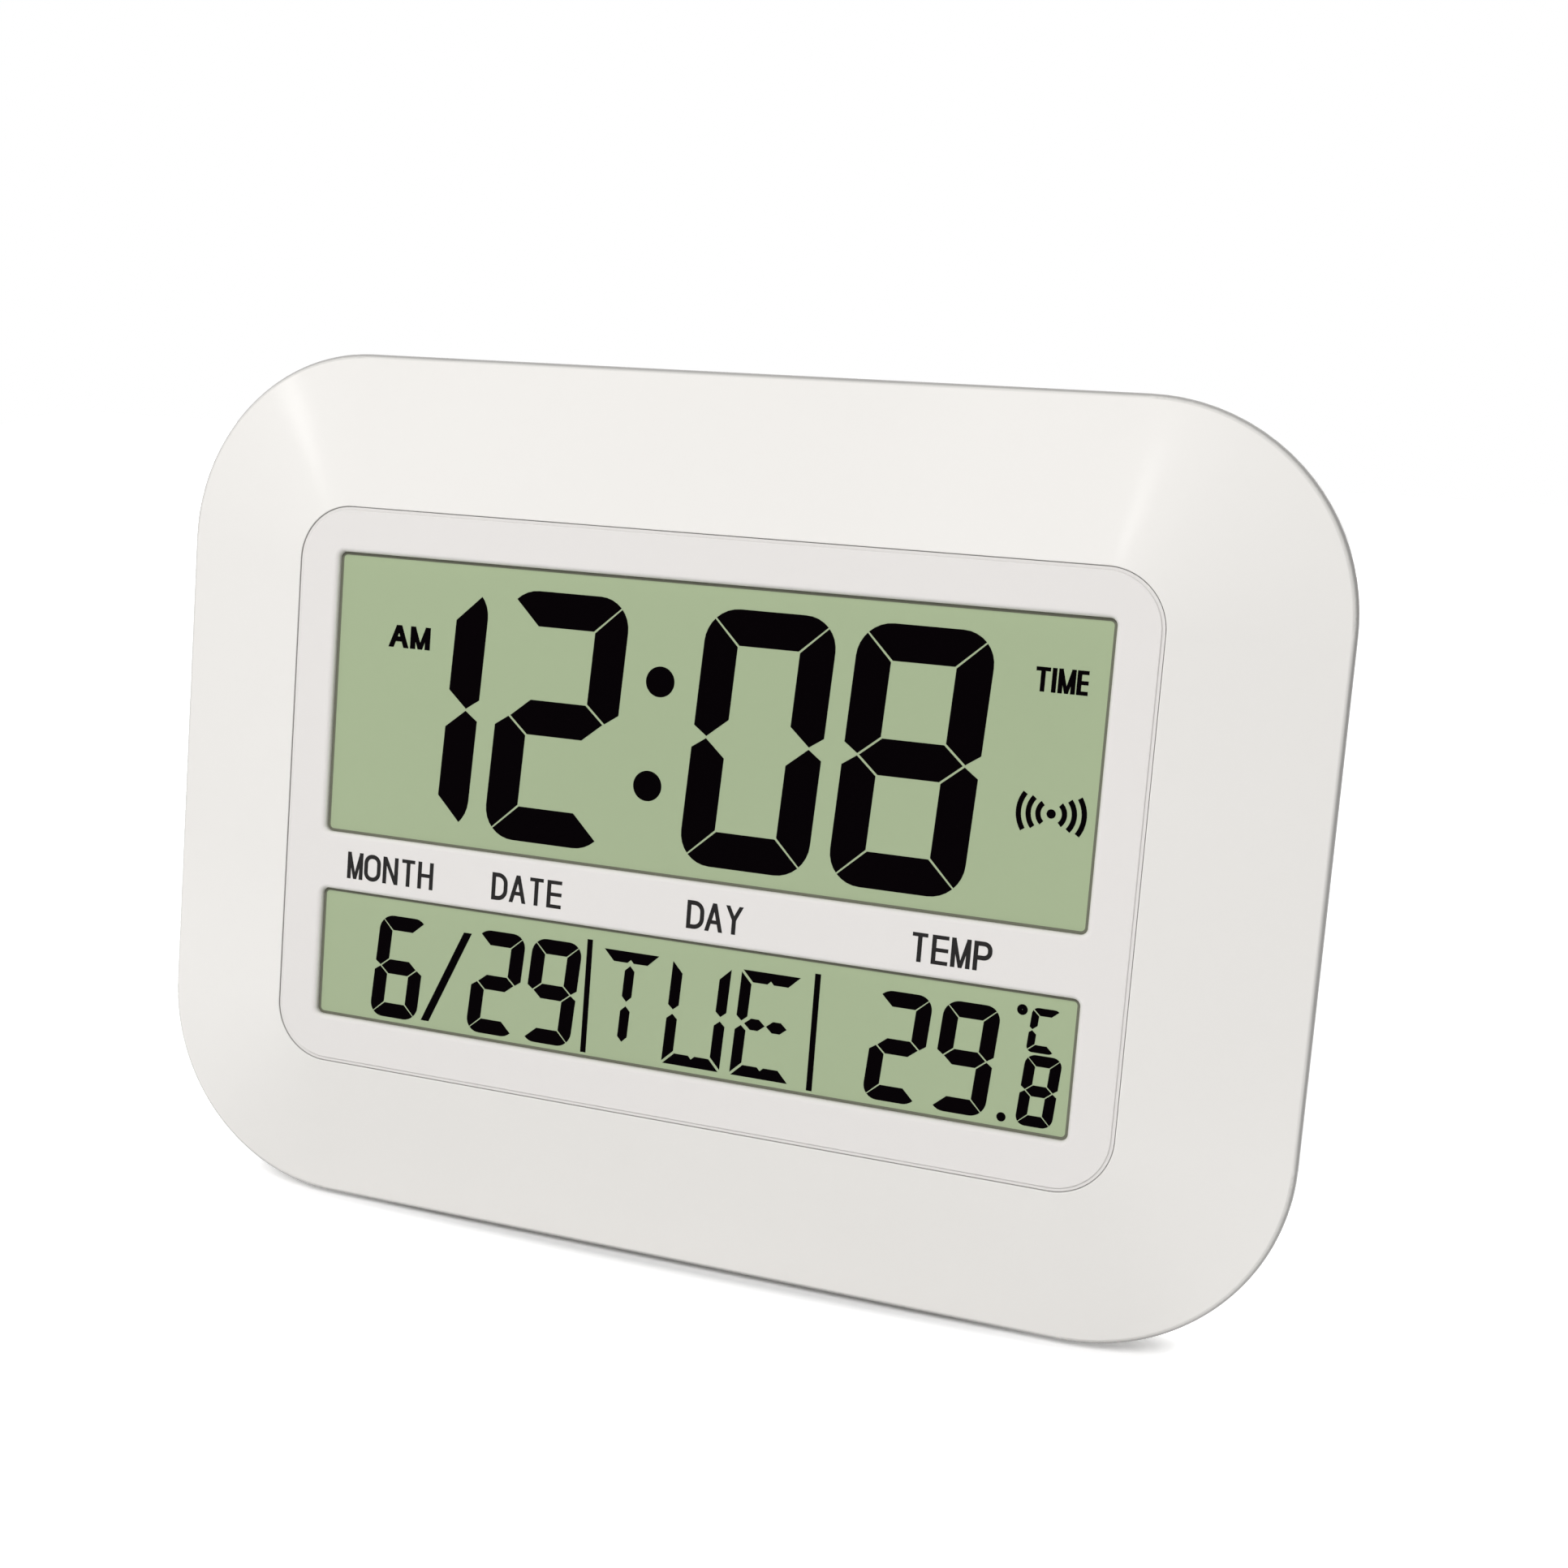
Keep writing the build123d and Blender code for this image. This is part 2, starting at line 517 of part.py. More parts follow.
def main_circuit_board():
    half = BOARD_WIDTH / 2
    board = block(-half, half, BOARD_BOTTOM, BOARD_TOP, BOARD_BACK, BOARD_FRONT)
    board = fillet(board.edges().filter_by(Axis.Z), BOARD_CORNER)
    for place in BOARD_SCREW_PLACES:
        board = board - post(BOARD_SCREW_RADIUS + SCREW_CLEARANCE, BOARD_BACK, BOARD_FRONT, place)
    return board


def controller_chip():
    """A domed drop of resin over the bare chip."""
    ball_radius = (BLOB_RADIUS ** 2 + BLOB_HEIGHT ** 2) / (2 * BLOB_HEIGHT)
    ball = Pos(*BLOB_PLACE, BOARD_BACK - BLOB_HEIGHT + ball_radius) * Sphere(ball_radius)
    return ball & post(BLOB_RADIUS, BOARD_BACK - BLOB_HEIGHT, BOARD_BACK, BLOB_PLACE)


def quartz_crystal():
    """A small can that lies on the board on a flat."""
    x, y = CRYSTAL_PLACE
    centre = BOARD_BACK - CRYSTAL_RADIUS + CRYSTAL_SUNK
    can = rod(CRYSTAL_RADIUS, x - CRYSTAL_LENGTH / 2, x + CRYSTAL_LENGTH / 2, y, centre)
    reach = CRYSTAL_LENGTH
    return can - block(x - reach, x + reach, y - reach, y + reach, BOARD_BACK, BOARD_FRONT)


def radio_receiver_module():
    x, y = RECEIVER_PLACE
    low = BOARD_BACK
    module = []
    for length, width, thick in (RECEIVER_SIZE, RECEIVER_CHIP):
        half, tall = length / 2, width / 2
        module.append(block(x - half, x + half, y - tall, y + tall, low - thick, low))
        low = low - thick
    return fused(module)


def tact_switches():
    switches = []
    for place in KEY_PLACES:
        low = BOARD_BACK - SWITCH_HEIGHT
        body = slab(SWITCH_BODY, SWITCH_BODY, SWITCH_CORNER, low, BOARD_BACK, place)
        tip = post(SWITCH_TIP_RADIUS, SWITCH_TIP, low, place)
        switches.append(body + tip)
    return switches


def temperature_sensor():
    """A bead on two leads, held off the board near the air slots."""
    x, y = SENSOR_PLACE
    bead = Pos(x, y, SENSOR_HEIGHT) * Rot(0, 0, 90) * Sphere(SENSOR_BEAD)
    leads = []
    for side in (-1, 1):
        place = (x + side * SENSOR_LEAD_GAP / 2, y)
        leads.append(post(SENSOR_LEAD, SENSOR_HEIGHT, BOARD_BACK, place))
    return fused([bead] + leads)


def key(place):
    """A key: dished cap, flange behind the wall and a stem that reaches the switch."""
    low = KEY_BELOW_BACK
    flange_low = KEY_FLOOR + KEY_FLANGE_GAP
    flange_high = flange_low + KEY_FLANGE
    cap = slab(KEY_LENGTH, KEY_WIDTH, KEY_CORNER, low, flange_high, place)
    cap = fillet(edges_at(cap, low), KEY_DISH)
    ball_radius = KEY_LENGTH * KEY_LENGTH / (8 * KEY_DISH)
    cap = cap - Pos(*place, low + KEY_DISH - ball_radius) * Sphere(ball_radius)
    grown = 2 * KEY_FLANGE_OUT
    flange = slab(KEY_LENGTH + grown, KEY_WIDTH + grown, KEY_CORNER, flange_low, flange_high, place)
    return cap + flange + post(KEY_STEM_RADIUS, flange_low, KEY_END, place)


def cover_shell():
    """The bare rear cover: a tray with sloping sides, a flat back and a tongue that enters the frame."""
    step = 2 * COVER_STEP
    mouth = (OUTLINE_WIDTH - step, OUTLINE_HEIGHT - step, OUTLINE_CORNER - COVER_STEP)
    drawn = step + 2 * COVER_DRAW_IN
    back = (OUTLINE_WIDTH - drawn, OUTLINE_HEIGHT - drawn, COVER_BACK_CORNER)
    outer = taper(back, 0, mouth, PARTING_HEIGHT)
    outer = fillet(edges_at(outer, 0), COVER_BACK_ROUND)
    thick = 2 * WALL
    mouth_in = (mouth[0] - thick, mouth[1] - thick, mouth[2] - WALL)
    back_in = (back[0] - thick, back[1] - thick, back[2] - WALL)
    inner = taper(back_in, WALL, mouth_in, PARTING_HEIGHT)
    tongue_in = 2 * (WALL + TONGUE_CLEARANCE)
    tongue = (OUTLINE_WIDTH - tongue_in, OUTLINE_HEIGHT - tongue_in, OUTLINE_CORNER - tongue_in / 2)
    wall = 2 * TONGUE_WALL
    tongue_hole = (tongue[0] - wall, tongue[1] - wall, tongue[2] - TONGUE_WALL)
    low, high = PARTING_HEIGHT - TONGUE_HEIGHT, PARTING_HEIGHT + TONGUE_HEIGHT
    lip = slab(*tongue, PARTING_HEIGHT, high) - slab(*tongue_hole, PARTING_HEIGHT, high)
    seat = slab(*mouth_in, low, PARTING_HEIGHT) - slab(*tongue_hole, low, PARTING_HEIGHT)
    return outer, (outer - inner) + seat + lip


def stand_recess(outer):
    """The tub for the folded leg: its walls, and the space that is cut from them."""
    top = RECESS_TOP + RECESS_WALL
    tub = block(-RECESS_SIDE, RECESS_SIDE, BASE_Y, top, 0, RECESS_FLOOR + RECESS_WALL)
    cheek = RECESS_HALF + HINGE_CHEEK
    tub = tub + block(-cheek, cheek, HINGE_Y - LEG_HEEL, top, 0, RECESS_FLOOR + RECESS_WALL)
    space = block(-RECESS_HALF, RECESS_HALF, BASE_Y, RECESS_TOP, 0, RECESS_FLOOR)
    hole_end = LEG_TOP_WIDTH / 2 + TRUNNION_LENGTH + LEG_SIDE_CLEARANCE
    space = space + rod(TRUNNION_RADIUS + TRUNNION_CLEARANCE, -hole_end, hole_end, HINGE_Y, HINGE_Z)
    return tub & outer, space


def battery_bay():
    """The bay's box, and the space for the cells and the door that is cut from it."""
    lip = 2 * (DOOR_OVERLAP + BAY_WALL)
    seat = (BAY_LENGTH + lip, BAY_HEIGHT + lip, DOOR_CORNER + BAY_WALL)
    wall = 2 * BAY_WALL
    tub = (BAY_LENGTH + wall, BAY_HEIGHT + wall, DOOR_CORNER)
    box = slab(*seat, INSIDE_BACK, BAY_LIP, BAY_PLACE) + slab(*tub, INSIDE_BACK, BAY_ROOF, BAY_PLACE)
    space = block(BAY_LEFT, BAY_RIGHT, BAY_BOTTOM, BAY_TOP, 0, BAY_FLOOR)
    gap = 2 * DOOR_EDGE_GAP
    space = space + slab(DOOR_WIDTH + gap, DOOR_HEIGHT + gap, DOOR_CORNER, 0, DOOR_SEAT, BAY_PLACE)
    nose = LATCH_WIDTH / 2 + DOOR_EDGE_GAP
    reach = DOOR_TOP + LATCH_NOSE + DOOR_EDGE_GAP
    space = space + block(BAY_X - nose, BAY_X + nose, DOOR_TOP, reach, 0, DOOR_SEAT)
    for side in (-1, 1):
        left = BAY_X + side * HOOK_X - HOOK_WIDTH / 2 - DOOR_EDGE_GAP
        right = left + HOOK_WIDTH + 2 * DOOR_EDGE_GAP
        deep = BAY_LIP + HOOK_DROP + HOOK_TOE + DOOR_EDGE_GAP
        bottom = BAY_BOTTOM - BAY_WALL - DOOR_EDGE_GAP
        space = space + block(left, right, bottom, BAY_Y, BAY_LIP, deep)
    return box, space


def key_pocket():
    """The shallow trough for the row of keys, and the space that is cut from it."""
    length = KEY_PITCH * (len(KEY_NAMES) - 1) + KEY_LENGTH + 2 * KEY_POCKET_MARGIN
    width = KEY_WIDTH + 2 * KEY_POCKET_MARGIN
    thick = 2 * WALL
    middle = (0, KEY_ROW)
    tub = slab(length + thick, width + thick, KEY_POCKET_MARGIN + WALL, INSIDE_BACK, KEY_FLOOR, middle)
    space = slab(length, width, KEY_POCKET_MARGIN, 0, KEY_POCKET_DEPTH, middle)
    grown = 2 * KEY_CLEARANCE
    hole = (KEY_LENGTH + grown, KEY_WIDTH + grown, KEY_CORNER + KEY_CLEARANCE)
    for place in KEY_PLACES:
        space = space + slab(*hole, 0, KEY_FLOOR, place)
    return tub, space


def keyhole():
    """The closed pocket behind the keyhole, and the entry hole with the slot above it."""
    room = KEYHOLE_RADIUS + KEYHOLE_POCKET_ROOM
    top = KEYHOLE_HEIGHT + KEYHOLE_RISE + room
    bottom = KEYHOLE_HEIGHT - room
    deep = WALL + KEYHOLE_POCKET_DEPTH
    wall = KEYHOLE_POCKET_WALL
    tub = block(-room - wall, room + wall, bottom - wall, top + wall, INSIDE_BACK, deep + wall)
    space = block(-room, room, bottom, top, WALL, deep)
    space = space + post(KEYHOLE_RADIUS, 0, WALL, (0, KEYHOLE_HEIGHT))
    slot_top = KEYHOLE_HEIGHT + KEYHOLE_RISE
    space = space + block(-KEYHOLE_SLOT_RADIUS, KEYHOLE_SLOT_RADIUS, KEYHOLE_HEIGHT, slot_top, 0, WALL)
    space = space + post(KEYHOLE_SLOT_RADIUS, 0, WALL, (0, slot_top))
    return tub, space


def row_of_slots(count, place):
    """Upright slots through the back wall, side by side."""
    slots = []
    for index in range(count):
        x = place[0] + (index - (count - 1) / 2) * SLOT_PITCH
        slots.append(slab(SLOT_WIDTH, SLOT_LENGTH, SLOT_CORNER, 0, WALL, (x, place[1])))
    return slots


def rear_cover():
    outer, cover = cover_shell()
    stand_walls, stand_space = stand_recess(outer)
    bay_walls, bay_space = battery_bay()
    key_walls, key_space = key_pocket()
    hang_walls, hang_space = keyhole()
    cover = cover + stand_walls + bay_walls + key_walls + hang_walls
    sink_radius = HEAD_RADIUS + HEAD_CLEARANCE
    boss_top = PARTING_HEIGHT - BOSS_GAP
    for place in CASE_SCREW_PLACES:
        cover = cover + post(sink_radius + SINK_WALL, INSIDE_BACK, SINK_DEPTH + WALL, place)
        cover = cover + post(BOSS_RADIUS, INSIDE_BACK, boss_top, place)
    seat_top = WALL + BUZZER_SEAT
    cover = cover + post(BUZZER_RADIUS + BUZZER_RING, INSIDE_BACK, seat_top + BUZZER_SEAT, BUZZER_PLACE)
    for end in (-1, 1):
        middle = ROD_X + end * (ROD_LENGTH / 2 - SADDLE_INSET)
        half = ROD_RADIUS + SADDLE_WALL
        left, right = middle - SADDLE / 2, middle + SADDLE / 2
        cover = cover + block(left, right, ROD_Y - half, ROD_Y + half, INSIDE_BACK, ROD_HEIGHT)
    cuts = [stand_space, bay_space, key_space, hang_space]
    for place in CASE_SCREW_PLACES:
        cuts.append(post(sink_radius, 0, SINK_DEPTH, place))
        cuts.append(post(SCREW_RADIUS + SCREW_CLEARANCE, SINK_DEPTH, boss_top, place))
    buzzer_room = BUZZER_RADIUS + ROUND_CLEARANCE
    cuts.append(post(buzzer_room, seat_top, seat_top + BUZZER_SEAT, BUZZER_PLACE))
    cuts.append(post(buzzer_room - BUZZER_RING, WALL, seat_top, BUZZER_PLACE))
    half = ROD_LENGTH / 2
    cuts.append(rod(ROD_RADIUS + ROUND_CLEARANCE, ROD_X - half, ROD_X + half, ROD_Y, ROD_HEIGHT))
    cuts += row_of_slots(SOUND_SLOTS, BUZZER_PLACE)
    cuts += row_of_slots(AIR_SLOTS, SENSOR_PLACE)
    for cut in cuts:
        cover = cover - cut
    return cover


def stand_leg():
    """The leg, swung open about its trunnions, with the heel cut where it stops against the recess floor."""
    top = HINGE_Y + LEG_HEEL
    shoulder = HINGE_Y - LEG_SHOULDER
    toe = BASE_Y + LEG_TOE
    foot = BASE_Y - LEG_TOP_WIDTH
    half = LEG_TOP_WIDTH / 2
    half_foot = half - LEG_TAPER
    inner, inner_foot = half - LEG_RIB, half_foot - LEG_RIB
    low, high = LEG_BELOW_BACK, LEG_BELOW_BACK + LEG_DEPTH
    floor = low + LEG_SKIN

    def plate(top_half, foot_half, upper, lower, bottom, roof):
        outline = Polygon(
            (-top_half, upper), (-top_half, shoulder), (-foot_half, BASE_Y), (-foot_half, lower),
            (foot_half, lower), (foot_half, BASE_Y), (top_half, shoulder), (top_half, upper), align=None,
        )
        return Pos(0, 0, bottom) * extrude(outline, amount=roof - bottom)

    leg = plate(half, half_foot, top, foot, low, high)
    leg = fillet(leg.edges().filter_by(Axis.X).group_by(Axis.Y)[-1], LEG_SKIN)
    leg = fillet(edges_at(leg, low), LEG_ROUND)
    hollow = plate(inner, inner_foot, HINGE_Y - LEG_HOLLOW_BELOW, toe, floor, high)
    hollow = hollow - block(-LEG_RIB / 2, LEG_RIB / 2, foot, top, floor, high)
    for share in (1, 2):
        y = shoulder + (toe - shoulder) * share / 3
        hollow = hollow - block(-half, half, y - LEG_RIB / 2, y + LEG_RIB / 2, floor, high)
    leg = leg - hollow
    end = half + TRUNNION_LENGTH
    leg = leg + rod(TRUNNION_RADIUS, -end, end, HINGE_Y, HINGE_Z)
    hinge = Pos(0, HINGE_Y, HINGE_Z)
    leg = hinge * Rot(STAND_OPEN, 0, 0) * hinge.inverse() * leg
    stop = RECESS_FLOOR - LEG_STOP_GAP
    return leg - block(-half, half, HINGE_Y - LEG_DEPTH, top + LEG_HEEL, stop, stop + LEG_DEPTH)


def battery_door():
    back = DOOR_SEAT_GAP
    front = back + DOOR
    corner = DOOR_CORNER - DOOR_EDGE_GAP
    door = slab(DOOR_WIDTH, DOOR_HEIGHT, corner, back, front, BAY_PLACE)
    tongue = LATCH_WIDTH / 2
    door = door + block(BAY_X - tongue, BAY_X + tongue, DOOR_TOP - corner, DOOR_TOP + LATCH_NOSE, back, front)
    for side in (-1, 1):
        x = BAY_X + side * (tongue + LATCH_SLOT / 2)
        left, right = x - LATCH_SLOT / 2, x + LATCH_SLOT / 2
        door = door - block(left, right, DOOR_TOP - LATCH_LENGTH, DOOR_TOP, back, front)
    grip = LATCH_WIDTH / 2 - LATCH_SLOT
    for index in range(LATCH_RIDGES):
        y = DOOR_TOP - LATCH_RIDGE_PITCH * (index + 1)
        door = door - rod(LATCH_RIDGE_RADIUS, BAY_X - grip, BAY_X + grip, y, back)
    toe_low = BAY_LIP + HOOK_DROP
    for side in (-1, 1):
        left = BAY_X + side * HOOK_X - HOOK_WIDTH / 2
        right = left + HOOK_WIDTH
        near = BAY_BOTTOM + HOOK_POST_GAP
        upright = block(left, right, near, near + HOOK_POST, front, toe_low + HOOK_TOE)
        toe = block(left, right, BAY_BOTTOM - HOOK_REACH, near + HOOK_POST, toe_low, toe_low + HOOK_TOE)
        door = door + upright + toe
    return door


def cell(row, nub_side):
    """One round cell along x, with its nub towards the side given."""
    end = BAY_X + nub_side * (BAY_LENGTH / 2 - CELL_NUB_END)
    shoulder = end - nub_side * CELL_NUB
    flat = end - nub_side * CELL_LENGTH
    can = rod(CELL_RADIUS, min(shoulder, flat), max(shoulder, flat), row, CELL_HEIGHT)
    can = fillet(can.edges().filter_by(GeomType.CIRCLE), CELL_ROUND)
    nub = rod(CELL_NUB_RADIUS, min(shoulder, end), max(shoulder, end), row, CELL_HEIGHT)
    return can + nub


def contact_plate(bottom, top):
    """A contact's flat plate against the bay's left end wall."""
    left = BAY_LEFT + CONTACT_GAP
    half = CONTACT_TALL / 2
    return block(left, left + CONTACT_PLATE, bottom, top, CELL_HEIGHT - half, CELL_HEIGHT + half)


def contact_leaf(row):
    """A bent leaf that presses on a cell's flat end, on the left plate."""
    root = BAY_LEFT + CONTACT_GAP + CONTACT_PLATE / 2
    crest = BAY_LEFT + BAY_LENGTH - CELL_NUB_END - CELL_LENGTH - CONTACT_GAP - CONTACT_PLATE / 2
    reach = CONTACT_WIDTH / 2 - CONTACT_PLATE
    half = LEAF_CREST / 2
    free = root + LEAF_FREE_GAP
    bend = Polyline((root, row + reach), (crest, row + half), (crest, row - half), (free, row - reach))
    strip = extrude(trace(bend, CONTACT_PLATE), amount=LEAF_WIDTH)
    return Pos(0, 0, CELL_HEIGHT - LEAF_WIDTH / 2) * strip


def contact_pip(row):
    """The raised spot that meets a cell's nub, on the left plate."""
    left = BAY_LEFT + CONTACT_GAP + CONTACT_PLATE
    return rod(CELL_NUB_RADIUS, left - CONTACT_GAP, left + CONTACT_TIP, row, CELL_HEIGHT)


def contacts():
    upper, lower = CELL_ROWS
    half = CONTACT_WIDTH / 2
    middle = Plane.YZ.offset(BAY_X)
    series = contact_plate(lower - half, upper + half) + contact_leaf(upper) + contact_pip(lower)
    positive = contact_plate(upper - half, upper + half) + contact_pip(upper)
    negative = contact_plate(lower - half, lower + half) + contact_leaf(lower)
    return {
        "series_contact": series,
        "positive_contact": mirror(positive, about=middle),
        "negative_contact": mirror(negative, about=middle),
    }


def aerial():
    half = ROD_LENGTH / 2
    core = rod(ROD_RADIUS, ROD_X - half, ROD_X + half, ROD_Y, ROD_HEIGHT)
    left, right = ROD_X - WINDING_LENGTH / 2, ROD_X + WINDING_LENGTH / 2
    bore = ROD_RADIUS + ROUND_CLEARANCE
    winding = rod(bore + WINDING_WALL, left, right, ROD_Y, ROD_HEIGHT)
    winding = winding - rod(bore, left, right, ROD_Y, ROD_HEIGHT)
    return {"ferrite_rod": core, "antenna_winding": winding}


def piezo_buzzer():
    low = WALL + BUZZER_SEAT
    disc = post(BUZZER_RADIUS, low, low + BUZZER_DISC, BUZZER_PLACE)
    return disc + post(BUZZER_CERAMIC_RADIUS, low, low + 2 * BUZZER_DISC, BUZZER_PLACE)


def screw(place, seat, end, radius, head_radius, head_height):
    """A screw that is driven from the back, with a cross in its head."""
    head = post(head_radius, seat - head_height, seat, place)
    head = fillet(edges_at(head, seat - head_height), HEAD_ROUND)
    body = head + post(radius, seat, end, place)
    long, short = 2 * (head_radius - CROSS_MARGIN), CROSS_WIDTH
    for width, height in ((long, short), (short, long)):
        arm = Box(width, height, 2 * CROSS_DEPTH)
        body = body - Pos(*place, seat - head_height) * arm
    return body


def screws():
    case_size = (SCREW_RADIUS, HEAD_RADIUS, HEAD_HEIGHT)
    board_size = (BOARD_SCREW_RADIUS, BOARD_HEAD_RADIUS, BOARD_HEAD_HEIGHT)
    case_end = PARTING_HEIGHT + CASE_SCREW_BITE
    chassis_end = EAR_FRONT + CHASSIS_SCREW_BITE
    board_end = BOARD_FRONT + BOARD_SCREW_BITE
    return {
        "case_screws": [screw(place, SINK_DEPTH, case_end, *case_size) for place in CASE_SCREW_PLACES],
        "chassis_screws": [screw(place, EAR_BACK, chassis_end, *case_size) for place in EAR_PLACES],
        "board_screws": [screw(place, BOARD_BACK, board_end, *board_size) for place in BOARD_SCREW_PLACES],
    }


def pieces():
    """Every piece by name, with the clock lying on its back."""
    made = {"front_frame": front_frame(), "display_panel": display_panel()}
    made.update(display_layers())
    made["zebra_strip"] = zebra_strip()
    made["display_chassis"] = display_chassis()
    made["main_circuit_board"] = main_circuit_board()
    made["controller_chip"] = controller_chip()
    made["quartz_crystal"] = quartz_crystal()
    made["radio_receiver_module"] = radio_receiver_module()
    made["tact_switches"] = tact_switches()
    made["temperature_sensor"] = temperature_sensor()
    made.update(aerial())
    made["piezo_buzzer"] = piezo_buzzer()
    made["rear_cover"] = rear_cover()
    made["battery_door"] = battery_door()
    made["battery_cell_upper"] = cell(CELL_ROWS[0], 1)
    made["battery_cell_lower"] = cell(CELL_ROWS[1], -1)
    made.update(contacts())
    made["stand_leg"] = stand_leg()
    for name, place in zip(KEY_NAMES, KEY_PLACES):
        made[name] = key(place)
    made.update(screws())
    return made


def stood_up(made):
    """The same pieces leaning back on a table, and the location that put them there."""
    turn = Rot(90 - LEAN, 0, 0)
    turned = {}
    for name, shape in made.items():
        turned[name] = turn * (Compound(shape) if isinstance(shape, list) else shape)
    table = turned["front_frame"].bounding_box().min.Z
    far = 4 * OUTLINE_HEIGHT
    turned["stand_leg"] = turned["stand_leg"] - block(-far, far, -far, far, table - far, table)
    boxes = [shape.bounding_box() for shape in turned.values()]
    middle_y = (min(box.min.Y for box in boxes) + max(box.max.Y for box in boxes)) / 2
    shift = Pos(0, -middle_y, -table)
    return {name: shift * shape for name, shape in turned.items()}, shift * turn


def main():
    os.makedirs("parts", exist_ok=True)
    placed, _ = stood_up(pieces())
    for name, shape in placed.items():
        export_step(shape, f"parts/{name}.step")


if __name__ == "__main__":
    main()
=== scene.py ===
"""Finishes, display, words and studio for the digital wall clock, around its CAD frame."""

import json
import math

import bpy
from mathutils import Matrix, Vector


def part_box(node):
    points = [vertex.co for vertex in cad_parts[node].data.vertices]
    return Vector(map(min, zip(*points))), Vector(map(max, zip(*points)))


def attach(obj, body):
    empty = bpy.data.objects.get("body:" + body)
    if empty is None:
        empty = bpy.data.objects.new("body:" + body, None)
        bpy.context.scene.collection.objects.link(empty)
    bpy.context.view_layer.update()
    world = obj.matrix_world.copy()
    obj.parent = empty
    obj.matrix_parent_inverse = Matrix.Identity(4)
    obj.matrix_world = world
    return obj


bl_info = {
    "name": "Digital Wall Clock",
    "version": (1, 0, 0),
    "blender": (4, 5, 0),
    "location": "View3D > Sidebar > Clock",
    "description": "Dresses the clock with plastics, a liquid-crystal display, printed words and a studio",
    "category": "Object",
}

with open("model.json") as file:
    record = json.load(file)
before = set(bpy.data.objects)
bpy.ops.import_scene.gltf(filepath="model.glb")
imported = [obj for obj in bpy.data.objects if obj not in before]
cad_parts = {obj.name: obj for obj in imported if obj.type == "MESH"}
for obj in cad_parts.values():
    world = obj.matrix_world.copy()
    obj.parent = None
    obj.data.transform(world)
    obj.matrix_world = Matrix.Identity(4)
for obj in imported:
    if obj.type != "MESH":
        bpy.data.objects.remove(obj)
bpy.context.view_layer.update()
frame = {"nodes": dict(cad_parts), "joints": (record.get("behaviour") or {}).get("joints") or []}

# The face's own directions, from the way the keys travel: out of the face, up it and to its right
OUT = Vector(next(joint["axis"] for joint in frame["joints"] if joint["name"] == "set_press")).normalized()
RIGHT = Vector((1, 0, 0))
UP = OUT.cross(RIGHT)


def middle_of(node):
    """The middle of a CAD piece, measured along the face's own directions."""
    spots = [vertex.co for vertex in frame["nodes"][node].data.vertices]
    middle = Vector()
    for way in (RIGHT, UP, OUT):
        places = [spot.dot(way) for spot in spots]
        middle += way * (min(places) + max(places)) / 2
    return middle


FACE_MIDDLE = middle_of("display_panel")

# Which bars of a seven-bar figure are lit
LIT_BARS = {"0": "abcdef", "1": "bc", "2": "abdeg", "6": "acdefg", "8": "abcdefg", "9": "abcdfg", "C": "adef"}

# Each bar's pattern and the way it is mirrored from the upper right
BAR_PLACES = {
    "a": ("end", 1, 1),
    "d": ("end", 1, -1),
    "b": ("side", 1, 1),
    "c": ("side", 1, -1),
    "f": ("side", -1, 1),
    "e": ("side", -1, -1),
    "g": ("middle", 1, 1),
}

# Which strokes of a fourteen-stroke letter are lit
LIT_STROKES = {"T": "ail", "U": "bcdef", "E": "adefgh"}

# Each stroke's pattern and the way it is mirrored from the upper right
STROKE_PLACES = {
    "a": ("bar", 1, 1),
    "d": ("bar", 1, -1),
    "b": ("post", 1, 1),
    "c": ("post", 1, -1),
    "f": ("post", -1, 1),
    "e": ("post", -1, -1),
    "i": ("stem", 1, 1),
    "l": ("stem", 1, -1),
    "g": ("dash", -1, 1),
    "h": ("dash", 1, 1),
}

# Slopes of the cuts between neighbouring bars, and shares of a bar's breadth or gap
MITRE_SLOPE = 0.97
POINT_SLOPE = 0.85
POINT_SLOPE_OUT = 0.7
POINT_FROM_EDGE = 0.4
POINT_GAP = 0.95
TIME_CORNER = 0.95
SMALL_GAP = 0.65

# How near a point has to lie to count as a corner, as a share of the corner's radius
CORNER_NEAR = 0.02

# Shares of a stroke's breadth in the weekday letters
BAR_INSET = 0.12
BAR_NOTCH = 0.3
STROKE_GAP = 0.2
STEM_HALF = 0.46
STEM_BELOW_TOP = 1.25
DASH_START = 0.06
DASH_SHORT = 0.78

# Shares in the small block letters
ARM_SHARE = 0.85
CROSSBAR_UP = 0.27
ROUND_O = 0.48
ROUND_D = 0.38
ROUND_P = 0.45

# How squarely a surface faces the reader at the upright side, on the rounded rim and on the sloping front;
# the rim's painted shade is full between the two rim values and fades out towards the side and the front
SIDE_FACING = 0.02
RIM_FACING = (0.12, 0.65)
FRONT_FACING = 0.95

# Sockets of a node that mixes two colours
MIX_FACTOR = 0
MIX_FIRST = 6
MIX_SECOND = 7
MIX_RESULT = 2

# How much of the fine grain goes into the tone of moulded plastic
FINE_SHARE = 0.25

# The strip of the table at the lower rim that glows less, which paints a shadow there over the real contact
# shade: its places scaled and shifted onto a unit ball
PAINTED_SHADOW_SHIFT = (0.0, 2.24, 0.0)
PAINTED_SHADOW_SCALE = (6.7, 98.5, 1.0)
PAINTED_SHADOW_FULL = 0.6
PAINTED_SHADOW_GLOW = 0.04
TABLE_GLOW = 0.8

LAMP_AIM = Vector((0, 0, 0.08))

# What is printed above each key
KEY_WORDS = {
    "set_button": "SET",
    "up_button": "+",
    "down_button": "-",
    "alarm_button": "ALARM",
    "receive_button": "WAVE",
    "unit_button": "°C/°F",
}


# Settings

